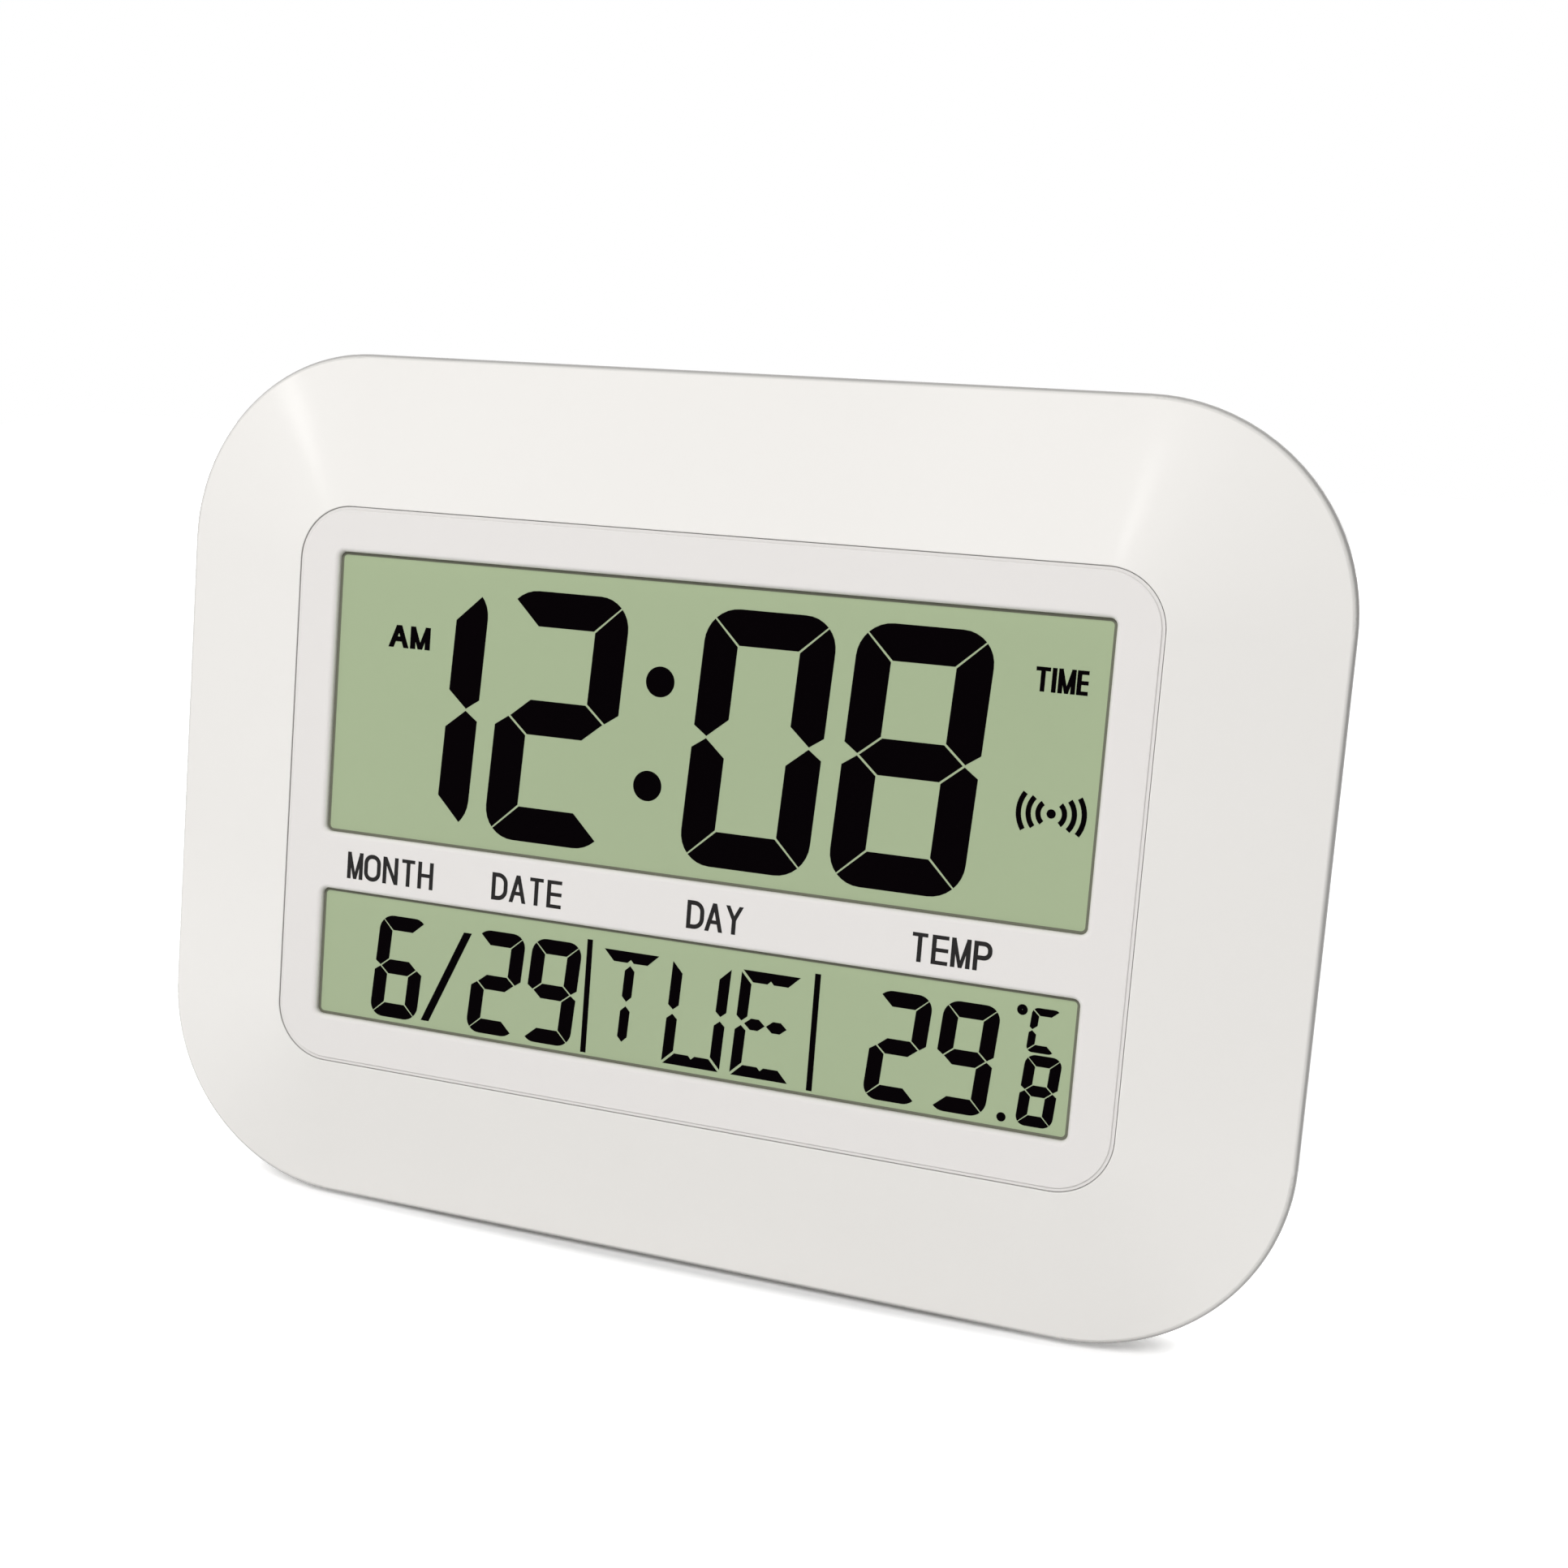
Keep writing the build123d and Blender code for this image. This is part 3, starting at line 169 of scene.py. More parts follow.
def length_setting(label, about, metres):
    """A length that a user can change."""
    return bpy.props.FloatProperty(name=label, description=about, default=metres, unit="LENGTH")


def angle_setting(label, about, degrees):
    """A lean that a user can change."""
    angle = math.radians(degrees)
    return bpy.props.FloatProperty(name=label, description=about, default=angle, subtype="ANGLE")


def colour_setting(label, about, colour):
    """A colour that a user can change."""
    return bpy.props.FloatVectorProperty(name=label, description=about, default=colour, subtype="COLOR")


def power_setting(label, about, watts):
    """A lamp's power that a user can change."""
    return bpy.props.FloatProperty(name=label, description=about, default=watts, unit="POWER")


class ClockDisplaySizes(bpy.types.PropertyGroup):
    """Sizes of the display's figures and of the printing."""

    time_width: length_setting("Time figure width", "Outer width of one large figure", 0.0248)
    time_height: length_setting("Time figure height", "Height of one large figure", 0.0469)
    time_stroke: length_setting("Time bar", "Breadth of a large figure's bars", 0.0065)
    time_slant: angle_setting("Time slant", "Lean of the large figures", 3.0)
    small_width: length_setting("Date figure width", "Outer width of a date or temperature figure", 0.0102)
    small_height: length_setting("Date figure height", "Height of a date or temperature figure", 0.0200)
    small_stroke: length_setting("Date bar", "Breadth of a date or temperature figure's bars", 0.0028)
    small_slant: angle_setting("Date slant", "Lean of the date and temperature figures", 4.3)
    letter_width: length_setting("Weekday letter width", "Outer width of a weekday letter", 0.0115)
    letter_height: length_setting("Weekday letter height", "Height of a weekday letter", 0.0197)
    letter_stroke: length_setting("Weekday stroke", "Breadth of a weekday letter's strokes", 0.0021)
    letter_slant: angle_setting("Weekday slant", "Lean of the weekday letters", 3.0)
    bar_gap: length_setting("Gap", "Clear line between a large figure's bars", 0.0004)
    legend_stroke: length_setting("Legend stroke", "Breadth of the panel's printed letters", 0.0008)
    border: length_setting("Window line", "Breadth of the dark line round each window", 0.00055)
    ink_rise: length_setting("Rise", "How far figures and printing stand above what carries them", 0.00003)


class ClockColours(bpy.types.PropertyGroup):
    """Colours of the clock's finishes."""

    case: colour_setting("Frame", "Sloping front frame", (0.85, 0.83, 0.80))
    panel: colour_setting("Panel", "Flat panel round the windows", (0.79, 0.765, 0.745))
    cover: colour_setting("Cover", "Rear cover, stand and battery door", (0.82, 0.81, 0.79))
    keys: colour_setting("Keys", "Keys in the back", (0.42, 0.43, 0.43))
    display: colour_setting("Display", "Unlit display film", (0.36, 0.437, 0.268))
    segments: colour_setting("Figures", "Dark figures on the display", (0.0012, 0.0005, 0.001))
    border: colour_setting("Window line", "Dark line round each window", (0.15, 0.155, 0.115))
    legends: colour_setting("Legends", "Words printed on the panel", (0.012, 0.011, 0.011))
    marks: colour_setting("Marks", "Words printed on the back", (0.13, 0.13, 0.13))


class ClockStudio(bpy.types.PropertyGroup):
    """Camera and light."""

    camera_place: bpy.props.FloatVectorProperty(
        name="Camera", description="Where the camera stands", default=(0.1328, -0.3287, 0.2130),
        subtype="TRANSLATION")
    camera_aim: bpy.props.FloatVectorProperty(
        name="Aim", description="Which way the camera looks", default=(-0.3215, 0.8871, -0.3312),
        subtype="XYZ")
    lens: bpy.props.FloatProperty(
        name="Lens", description="Focal length in millimetres", default=45.96, min=1.0)
    sky: bpy.props.FloatProperty(
        name="Room light", description="Even light from all round", default=0.165, min=0.0)
    key: power_setting("Key light", "Power of the softbox above and in front", 16.1)
    side: power_setting("Side light", "Power of the softbox to the left", 1.8)
    rear: power_setting("Rear light", "Power of the softbox behind the clock", 15.0)
    glint: power_setting("Glints", "Power of the two small lamps that the frame's corners mirror", 0.17)


# Helpers for modelling

def alone(piece):
    """Selects one object and makes it the active one."""
    bpy.ops.object.select_all(action="DESELECT")
    piece.select_set(True)
    bpy.context.view_layer.objects.active = piece


def sheet(name, left, right, bottom, top):
    """A flat rectangle, the start of a bar."""
    bpy.ops.object.select_all(action="DESELECT")
    bpy.ops.mesh.primitive_plane_add(size=1, location=((left + right) / 2, (bottom + top) / 2, 0))
    piece = bpy.context.object
    piece.name = name
    piece.scale = (right - left, top - bottom, 1)
    bpy.ops.object.transform_apply(location=True, rotation=False, scale=True)
    return piece


def opened(piece):
    """Opens a piece in edit mode with all of it selected."""
    alone(piece)
    bpy.ops.object.mode_set(mode="EDIT")
    bpy.ops.mesh.select_all(action="SELECT")


def picked(piece, wanted):
    """Selects only the vertices whose place passes a test."""
    alone(piece)
    for vertex in piece.data.vertices:
        vertex.select = wanted(vertex.co)
    for edge in piece.data.edges:
        edge.select = False
    for polygon in piece.data.polygons:
        polygon.select = False


def round_corners(piece, corners, radius):
    """Rounds the corners of a flat piece that lie at the points given."""
    def is_corner(spot):
        return min(math.hypot(spot.x - x, spot.y - y) for x, y in corners) < CORNER_NEAR * radius

    picked(piece, is_corner)
    bpy.ops.object.mode_set(mode="EDIT")
    bpy.ops.mesh.select_mode(type="VERT")
    bpy.ops.mesh.bevel(offset=radius, segments=8, affect="VERTICES", profile=0.5)
    bpy.ops.object.mode_set(mode="OBJECT")


def cut(piece, point, away):
    """Cuts a flat piece along a line and drops the side that away points to."""
    opened(piece)
    bpy.ops.mesh.bisect(plane_co=point, plane_no=away, clear_outer=True)
    bpy.ops.object.mode_set(mode="OBJECT")


def copied(pattern, name, across, along):
    """A copy of a pattern with its own mesh, mirrored where across or along is -1."""
    piece = pattern.copy()
    piece.data = pattern.data.copy()
    piece.name = name
    bpy.context.collection.objects.link(piece)
    piece.data.transform(Matrix.Diagonal((across, along, 1, 1)))
    if across * along < 0:
        piece.data.flip_normals()
    return piece


def joined(name, parts):
    """Several flat parts as one object."""
    bpy.ops.object.select_all(action="DESELECT")
    for part in parts:
        part.select_set(True)
    bpy.context.view_layer.objects.active = parts[0]
    if len(parts) > 1:
        bpy.ops.object.join()
    piece = bpy.context.object
    piece.name = name
    piece.data.name = name
    return piece


def scrapped(patterns):
    """Removes patterns that have been copied."""
    for pattern in patterns:
        mesh = pattern.data
        bpy.data.objects.remove(pattern)
        bpy.data.meshes.remove(mesh)


def slanted(angle):
    """A lean to the right by an angle, as a matrix."""
    lean = Matrix.Identity(4)
    lean[0][1] = math.tan(angle)
    return lean


def reach(node, way):
    """How far a CAD piece goes from the panel's middle, in one direction."""
    vertices = frame["nodes"][node].data.vertices
    return max((vertex.co - FACE_MIDDLE).dot(way) for vertex in vertices)


def face_place(height):
    """The plane of the face at a height out from the panel's middle."""
    turn = Matrix((RIGHT, UP, OUT)).transposed().to_4x4()
    return Matrix.Translation(FACE_MIDDLE + OUT * height) @ turn


def back_place(height):
    """The same seen from behind, at a height from the panel's middle towards the wall."""
    turn = Matrix((-RIGHT, UP, -OUT)).transposed().to_4x4()
    return Matrix.Translation(FACE_MIDDLE - OUT * height) @ turn


def seen_from_behind(low, high):
    """The middle of a CAD box on the back's plane."""
    middle = (low + high) / 2 - FACE_MIDDLE
    return -middle.dot(RIGHT), middle.dot(UP)


def laid(piece, place, rise, body, finish):
    """Gives a flat piece its thickness, lays it on a plane and lets it ride on a body."""
    alone(piece)
    bpy.ops.object.modifier_add(type="SOLIDIFY")
    film = piece.modifiers[-1]
    film.thickness = 2 * rise
    film.offset = 0
    bpy.ops.object.modifier_apply(modifier=film.name)
    piece.data.transform(place)
    piece.data.materials.clear()
    piece.data.materials.append(finish)
    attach(piece, body)


def film_place():
    """The plane of the display film's front."""
    return face_place(reach("lcd_front_polariser", OUT))


def lit(piece, rise, finish):
    """Lays a flat figure, letter or sign on the display's film."""
    laid(piece, film_place(), rise, "case", finish)


# Figures of seven bars

def end_bar(style):
    """The top bar, with rounded outer corners and mitred ends."""
    half, top, stroke = style["width"] / 2, style["height"] / 2, style["stroke"]
    piece = sheet("end_bar", -half, half, top - stroke, top)
    round_corners(piece, [(-half, top), (half, top)], style["corner"])
    for side in (-1, 1):
        away = Vector((side * MITRE_SLOPE, -1, 0)).normalized()
        inner = Vector((side * (half - stroke), top - stroke, 0))
        cut(piece, inner - away * style["gap"] / 2, away)
    return piece


def side_bar(style):
    """The upper right bar: mitred at the top and pointed at the middle of the figure."""
    half, top, stroke = style["width"] / 2, style["height"] / 2, style["stroke"]
    piece = sheet("side_bar", half - stroke, half, 0, top)
    round_corners(piece, [(half, top)], style["corner"])
    away = Vector((-MITRE_SLOPE, 1, 0)).normalized()
    inner = Vector((half - stroke, top - stroke, 0))
    cut(piece, inner - away * style["gap"] / 2, away)
    point = Vector((half - POINT_FROM_EDGE * stroke, style["gap"] / 2, 0))
    cut(piece, point, Vector((-POINT_SLOPE, -1, 0)))
    cut(piece, point, Vector((POINT_SLOPE_OUT, -1, 0)))
    return piece


def middle_bar(style):
    """The middle bar, pointed at both ends."""
    stroke = style["stroke"]
    half = style["width"] / 2 - POINT_FROM_EDGE * stroke - POINT_GAP * style["gap"]
    piece = sheet("middle_bar", -half, half, -stroke / 2, stroke / 2)
    for across in (-1, 1):
        for along in (-1, 1):
            cut(piece, Vector((across * half, 0, 0)), Vector((across * POINT_SLOPE, along, 0)))
    return piece


def lit_signs(patterns, places, lit_parts, style, wanted, finish):
    """Lit figures or letters; each is a name, a sign and its middle on the display."""
    lean = slanted(style["slant"])
    for name, sign, x, y in wanted:
        parts = []
        for part in lit_parts[sign]:
            pattern, across, along = places[part]
            parts.append(copied(patterns[pattern], name, across, along))
        piece = joined(name, parts)
        piece.data.transform(Matrix.Translation((x, y, 0)) @ lean)
        lit(piece, style["rise"], finish)
    scrapped(patterns.values())


def figures(style, wanted, finish):
    """Lit figures in one style."""
    patterns = {"end": end_bar(style), "side": side_bar(style), "middle": middle_bar(style)}
    lit_signs(patterns, BAR_PLACES, LIT_BARS, style, wanted, finish)


def small_style(sizes):
    """The date and temperature figures' proportions."""
    return {
        "width": sizes.small_width, "height": sizes.small_height, "stroke": sizes.small_stroke,
        "corner": sizes.small_stroke, "gap": SMALL_GAP * sizes.bar_gap, "slant": sizes.small_slant,
        "rise": sizes.ink_rise,
    }


# Letters of fourteen strokes

def letter_patterns(style):
    """The four kinds of stroke that a weekday letter is made of."""
    half, top, stroke = style["width"] / 2, style["height"] / 2, style["stroke"]
    bar_half = half - BAR_INSET * stroke
    left = sheet("bar", -bar_half, 0, top - stroke, top)
    cut(left, Vector((-bar_half, top, 0)), Vector((-1, -1, 0)))
    cut(left, Vector((0, top - stroke + BAR_NOTCH * stroke, 0)), Vector((1, -1, 0)))
    bar = joined("bar", [left, copied(left, "bar", -1, 1)])
    gap = STROKE_GAP * stroke
    post = sheet("post", half - stroke, half, gap, top)
    cut(post, Vector((half, top - gap, 0)), Vector((-1, 1, 0)))
    stem_half, stem_top = STEM_HALF * stroke, top - STEM_BELOW_TOP * stroke
    stem = sheet("stem", -stem_half, stem_half, gap, stem_top)
    for across in (-1, 1):
        cut(post, Vector((half - stroke / 2, gap, 0)), Vector((across * POINT_SLOPE, -1, 0)))
        cut(stem, Vector((0, gap, 0)), Vector((across, -1, 0)))
        cut(stem, Vector((0, stem_top, 0)), Vector((across, 1, 0)))
    dash_start, dash_end = DASH_START * stroke, half - DASH_SHORT * stroke
    dash = sheet("dash", dash_start, dash_end, -stroke / 2, stroke / 2)
    for end, across in ((dash_start, -1), (dash_end, 1)):
        for along in (-1, 1):
            cut(dash, Vector((end, 0, 0)), Vector((across * POINT_SLOPE, along, 0)))
    return {"bar": bar, "post": post, "stem": stem, "dash": dash}


def letters(style, wanted, finish):
    """Lit letters in one style."""
    lit_signs(letter_patterns(style), STROKE_PLACES, LIT_STROKES, style, wanted, finish)


# Dots, lines and words

def pen_stroke(name, foot, head, breadth):
    """A straight stroke of a letter between two points, cut level at its foot and head."""
    rise = head[1] - foot[1]
    piece = sheet(name, -breadth / 2, breadth / 2, 0, rise)
    lean = slanted(math.atan2(head[0] - foot[0], rise))
    piece.data.transform(Matrix.Translation((foot[0], foot[1], 0)) @ lean)
    return piece


def block_letter(letter, left, right, bottom, top, breadth):
    """The strokes of one bold letter of a small word."""
    middle, halfway = (left + right) / 2, (bottom + top) / 2
    first, last = left + breadth / 2, right - breadth / 2
    arm = ARM_SHARE * breadth
    strokes = []

    def line(foot, head, weight=breadth):
        strokes.append(pen_stroke(letter, foot, head, weight))

    def bar(low, start=left, end=right):
        strokes.append(sheet(letter, start, end, low, low + arm))

    def loop(low, corners, radius):
        strokes.append(ring(letter, left, right, low, top, corners, radius, breadth))

    if letter in "IMENH":
        line((first, bottom), (first, top))
    if letter in "MNH":
        line((last, bottom), (last, top))
    if letter == "T":
        line((middle, bottom), (middle, top))
        bar(top - arm)
    if letter == "E":
        bar(bottom)
    if letter in "EH":
        bar(halfway - arm / 2)
    if letter == "E":
        bar(top - arm)
    if letter == "M":
        line((middle, bottom), (first, top), arm)
        line((middle, bottom), (last, top), arm)
    if letter == "N":
        line((last, bottom), (first, top))
    if letter == "A":
        line((first, bottom), (middle, top))
        line((last, bottom), (middle, top))
        bar(bottom + CROSSBAR_UP * (top - bottom), (left + middle) / 2, (middle + right) / 2)
    if letter == "Y":
        line((middle, bottom), (middle, halfway + arm))
        line((middle, halfway), (first, top))
        line((middle, halfway), (last, top))
    if letter == "O":
        corners = [(right, bottom), (right, top), (left, bottom), (left, top)]
        loop(bottom, corners, ROUND_O * (right - left))
    if letter == "D":
        loop(bottom, [(right, bottom), (right, top)], ROUND_D * (top - bottom))
    if letter == "P":
        low = halfway - arm
        line((first, bottom), (first, low + arm / 2))
        loop(low, [(right, low), (right, top)], ROUND_P * (top - low))
    return strokes


def block_word(name, letters, bottom, top, breadth):
    """A flat word of bold letters; each letter comes with its left and right side."""
    strokes = []
    for letter, left, right in letters:
        strokes += block_letter(letter, left, right, bottom, top, breadth)
    return joined(name, strokes)


def merged(piece):
    """Makes one closed film of strokes that cross."""
    opened(piece)
    bpy.ops.mesh.intersect_boolean(operation="UNION", use_self=True, solver="EXACT")
    bpy.ops.mesh.select_all(action="SELECT")
    bpy.ops.mesh.remove_doubles(threshold=2e-6)
    bpy.ops.mesh.dissolve_limited(angle_limit=math.radians(1.0))
    bpy.ops.mesh.select_all(action="SELECT")
    bpy.ops.mesh.delete_loose(use_verts=True, use_edges=True, use_faces=False)
    bpy.ops.object.mode_set(mode="OBJECT")


def ring(name, left, right, bottom, top, corners, radius, breadth):
    """A flat line just inside a rectangle that is rounded at the corners given."""
    piece = sheet(name, left, right, bottom, top)
    round_corners(piece, corners, radius)
    alone(piece)
    bpy.ops.object.mode_set(mode="EDIT")
    bpy.ops.mesh.select_mode(type="FACE")
    bpy.ops.mesh.select_all(action="SELECT")
    bpy.ops.mesh.inset(thickness=breadth, depth=0, use_even_offset=True)
    bpy.ops.mesh.delete(type="FACE")
    bpy.ops.object.mode_set(mode="OBJECT")
    return piece


def disc(name, x, y, radius):
    """A flat round dot."""
    bpy.ops.object.select_all(action="DESELECT")
    bpy.ops.mesh.primitive_circle_add(vertices=40, radius=radius, fill_type="NGON", location=(x, y, 0))
    piece = bpy.context.object
    piece.name = name
    bpy.ops.object.transform_apply(location=True, rotation=False, scale=False)
    return piece


def curved_line(name, middle, radius, breadth, half_angle, facing):
    """A flat arc, spun from one edge about its middle."""
    piece = sheet(name, radius - breadth / 2, radius + breadth / 2, -breadth, 0)
    picked(piece, lambda spot: spot.y < -breadth / 2)
    bpy.ops.object.mode_set(mode="EDIT")
    bpy.ops.mesh.select_mode(type="VERT")
    bpy.ops.mesh.delete(type="VERT")
    bpy.ops.mesh.select_all(action="SELECT")
    bpy.ops.mesh.spin(steps=16, angle=2 * half_angle, center=(0, 0, 0), axis=(0, 0, 1))
    bpy.ops.mesh.select_all(action="SELECT")
    bpy.ops.mesh.remove_doubles(threshold=1e-7)
    bpy.ops.mesh.normals_make_consistent(inside=False)
    bpy.ops.object.mode_set(mode="OBJECT")
    spots = [vertex.co for vertex in piece.data.vertices]
    middle_angle = math.atan2(sum(spot.y for spot in spots), sum(spot.x for spot in spots))
    turn = Matrix.Rotation(facing - middle_angle, 4, "Z")
    piece.data.transform(Matrix.Translation((middle[0], middle[1], 0)) @ turn)
    return piece


def word(name, text, left, right, bottom, top):
    """A flat word that fills a box."""
    bpy.ops.object.select_all(action="DESELECT")
    bpy.ops.object.text_add(location=(0, 0, 0))
    line = bpy.context.object
    line.data.body = text
    line.data.resolution_u = 6
    bpy.ops.object.convert(target="MESH")
    piece = bpy.context.object
    piece.name = name
    across = [vertex.co.x for vertex in piece.data.vertices]
    along = [vertex.co.y for vertex in piece.data.vertices]
    tall = (top - bottom) / (max(along) - min(along))
    wide = (right - left) / (max(across) - min(across))
    shift = Matrix.Translation((left, bottom, 0))
    size = Matrix.Diagonal((wide, tall, 1, 1))
    piece.data.transform(shift @ size @ Matrix.Translation((-min(across), -min(along), 0)))
    opened(piece)
    bpy.ops.mesh.remove_doubles(threshold=1e-6)
    bpy.ops.object.mode_set(mode="OBJECT")
    return piece


# Shared shader groups

def preset(node, values):
    """Sets a node's sockets by their labels."""
    for label, value in values.items():
        node.inputs[label].default_value = value


def new_group(name, inputs, outputs):
    """A shader group with its named sockets, and the nodes at its two ends."""
    group = bpy.data.node_groups.new(name, "ShaderNodeTree")
    for label, kind, value in inputs:
        socket = group.interface.new_socket(label, in_out="INPUT", socket_type=kind)
        if value is not None:
            socket.default_value = value
    for label in outputs:
        group.interface.new_socket(label, in_out="OUTPUT", socket_type="NodeSocketFloat")
    return group, group.nodes.new("NodeGroupInput"), group.nodes.new("NodeGroupOutput")


def moulded_grain():
    """Fine spark grain with broad, faint flow marks, as on moulded plastic."""
    group = bpy.data.node_groups.get("Moulded Grain")
    if group:
        return group
    inputs = [
        ("Vector", "NodeSocketVector", None),
        ("Grain Scale", "NodeSocketFloat", 2500.0),
        ("Smooth", "NodeSocketFloat", 0.38),
        ("Rough", "NodeSocketFloat", 0.5),
    ]
    group, source, result = new_group("Moulded Grain", inputs, ("Tone", "Roughness", "Height"))
    fine = group.nodes.new("ShaderNodeTexNoise")
    preset(fine, {"Detail": 2.0})
    flow = group.nodes.new("ShaderNodeTexNoise")
    preset(flow, {"Scale": 14.0, "Detail": 3.0})
    spread = group.nodes.new("ShaderNodeMapRange")
    blend = group.nodes.new("ShaderNodeMath")
    blend.operation = "MULTIPLY_ADD"
    blend.inputs[1].default_value = FINE_SHARE
    link = group.links.new
    link(source.outputs["Vector"], fine.inputs["Vector"])
    link(source.outputs["Vector"], flow.inputs["Vector"])
    link(source.outputs["Grain Scale"], fine.inputs["Scale"])
    link(fine.outputs["Fac"], spread.inputs["Value"])
    link(source.outputs["Smooth"], spread.inputs["To Min"])
    link(source.outputs["Rough"], spread.inputs["To Max"])
    link(fine.outputs["Fac"], blend.inputs[0])
    link(flow.outputs["Fac"], blend.inputs[2])
    link(blend.outputs["Value"], result.inputs["Tone"])
    link(spread.outputs["Result"], result.inputs["Roughness"])
    link(fine.outputs["Fac"], result.inputs["Height"])
    return group


def drawn_metal():
    """Fine lines along x with a few darker spots, as on drawn and plated metal."""
    group = bpy.data.node_groups.get("Drawn Metal")
    if group:
        return group
    inputs = [
        ("Vector", "NodeSocketVector", None),
        ("Smooth", "NodeSocketFloat", 0.22),
        ("Rough", "NodeSocketFloat", 0.42),
    ]
    group, source, result = new_group("Drawn Metal", inputs, ("Tone", "Roughness", "Height"))
    stretch = group.nodes.new("ShaderNodeMapping")
    preset(stretch, {"Scale": (120.0, 4000.0, 4000.0)})
    lines = group.nodes.new("ShaderNodeTexNoise")
    preset(lines, {"Scale": 1.0, "Detail": 3.0})
    spots = group.nodes.new("ShaderNodeTexNoise")
    preset(spots, {"Scale": 300.0})
    spread = group.nodes.new("ShaderNodeMapRange")
    link = group.links.new
    link(source.outputs["Vector"], stretch.inputs["Vector"])
    link(stretch.outputs["Vector"], lines.inputs["Vector"])
    link(source.outputs["Vector"], spots.inputs["Vector"])
    link(lines.outputs["Fac"], spread.inputs["Value"])
    link(source.outputs["Smooth"], spread.inputs["To Min"])
    link(source.outputs["Rough"], spread.inputs["To Max"])
    link(spots.outputs["Fac"], result.inputs["Tone"])
    link(spread.outputs["Result"], result.inputs["Roughness"])
    link(lines.outputs["Fac"], result.inputs["Height"])
    return group


def seam_shade():
    """Painted shade in narrow seams: the colour is darkened where the surface is hemmed in."""
    group = bpy.data.node_groups.get("Seam Shade")
    if group:
        return group
    inputs = [("Reach", "NodeSocketFloat", 0.0012), ("Deepest", "NodeSocketFloat", 0.75)]
    group, source, result = new_group("Seam Shade", inputs, ("Light",))
    near = group.nodes.new("ShaderNodeAmbientOcclusion")
    near.samples = 8
    level = group.nodes.new("ShaderNodeMapRange")
    link = group.links.new
    link(source.outputs["Reach"], near.inputs["Distance"])
    link(near.outputs["AO"], level.inputs["Value"])
    link(source.outputs["Deepest"], level.inputs["To Min"])
    link(level.outputs["Result"], result.inputs["Light"])
    return group


# Finishes

def shades(colour, spread):
    """A colour a little darker and a little lighter."""
    dark = [max(0.0, channel * (1 - spread)) for channel in colour]
    light = [min(1.0, channel * (1 + spread)) for channel in colour]
    return (*dark, 1.0), (*light, 1.0)


def blank_finish(name):
    """A new finish with its nodes, its link function and its shader."""
    finish = bpy.data.materials.new(name)
    finish.use_nodes = True
    nodes = finish.node_tree.nodes
    return finish, nodes, finish.node_tree.links.new, nodes["Principled BSDF"]


def two_tone(nodes, first, second):
    """A node that mixes two colours."""
    mix = nodes.new("ShaderNodeMix")
    mix.data_type = "RGBA"
    mix.inputs[MIX_FIRST].default_value = first
    mix.inputs[MIX_SECOND].default_value = second
    return mix


def grouped_finish(name, group, colour, spread, depth, values):
    """A finish whose colour, roughness and bump come from a shared group; returns it and its shader."""
    finish, nodes, link, shader = blank_finish(name)
    place = nodes.new("ShaderNodeTexCoord")
    grain = nodes.new("ShaderNodeGroup")
    grain.node_tree = group
    preset(grain, values)
    tone = two_tone(nodes, *shades(colour, spread))
    bump = nodes.new("ShaderNodeBump")
    preset(bump, {"Strength": 0.3, "Distance": depth})
    link(place.outputs["Object"], grain.inputs["Vector"])
    link(grain.outputs["Tone"], tone.inputs[MIX_FACTOR])
    link(tone.outputs[MIX_RESULT], shader.inputs["Base Color"])
    link(grain.outputs["Roughness"], shader.inputs["Roughness"])
    link(grain.outputs["Height"], bump.inputs["Height"])
    link(bump.outputs["Normal"], shader.inputs["Normal"])
    return finish, shader


def moulded(name, colour, spread=0.012, depth=0.00001, scale=2500.0, smooth=0.38, rough=0.5):
    """A moulded plastic."""
    values = {"Grain Scale": scale, "Smooth": smooth, "Rough": rough}
    return grouped_finish(name, moulded_grain(), colour, spread, depth, values)


def dimmed(finish, shader, light):
    """Multiplies a finish's colour by a value that varies over it, to paint shade into it."""
    nodes, link = finish.node_tree.nodes, finish.node_tree.links.new
    colour = shader.inputs["Base Color"].links[0].from_socket
    product = nodes.new("ShaderNodeVectorMath")
    product.operation = "SCALE"
    link(colour, product.inputs["Vector"])
    link(light, product.inputs["Scale"])
    link(product.outputs["Vector"], shader.inputs["Base Color"])


def seamed(finish, shader):
    """Darkens a finish's colour where it goes down into a seam: painted shade."""
    seam = finish.node_tree.nodes.new("ShaderNodeGroup")
    seam.node_tree = seam_shade()
    dimmed(finish, shader, seam.outputs["Light"])


def rim_painted_shade(finish, shader, darkest):
    """Paints shade on the rounded rim, between the sloping front and the upright side, by darkening the
    colour there.
    """
    nodes, link = finish.node_tree.nodes, finish.node_tree.links.new
    place = nodes.new("ShaderNodeTexCoord")
    facing = nodes.new("ShaderNodeVectorMath")
    facing.operation = "DOT_PRODUCT"
    facing.inputs[1].default_value = OUT
    shade = nodes.new("ShaderNodeValToRGB")
    stops = shade.color_ramp.elements
    for stop, position in zip(stops, (SIDE_FACING, FRONT_FACING)):
        stop.position = position
        stop.color = (1.0, 1.0, 1.0, 1.0)
    for position in RIM_FACING:
        stops.new(position).color = (darkest, darkest, darkest, 1.0)
    link(place.outputs["Normal"], facing.inputs[0])
    link(facing.outputs["Value"], shade.inputs["Fac"])
    dimmed(finish, shader, shade.outputs["Color"])


def plated(name, colour, spread=0.08, depth=0.00002, smooth=0.22, rough=0.42):
    """A plated or drawn metal."""
    values = {"Smooth": smooth, "Rough": rough}
    finish, shader = grouped_finish(name, drawn_metal(), colour, spread, depth, values)
    preset(shader, {"Metallic": 1.0})
    return finish


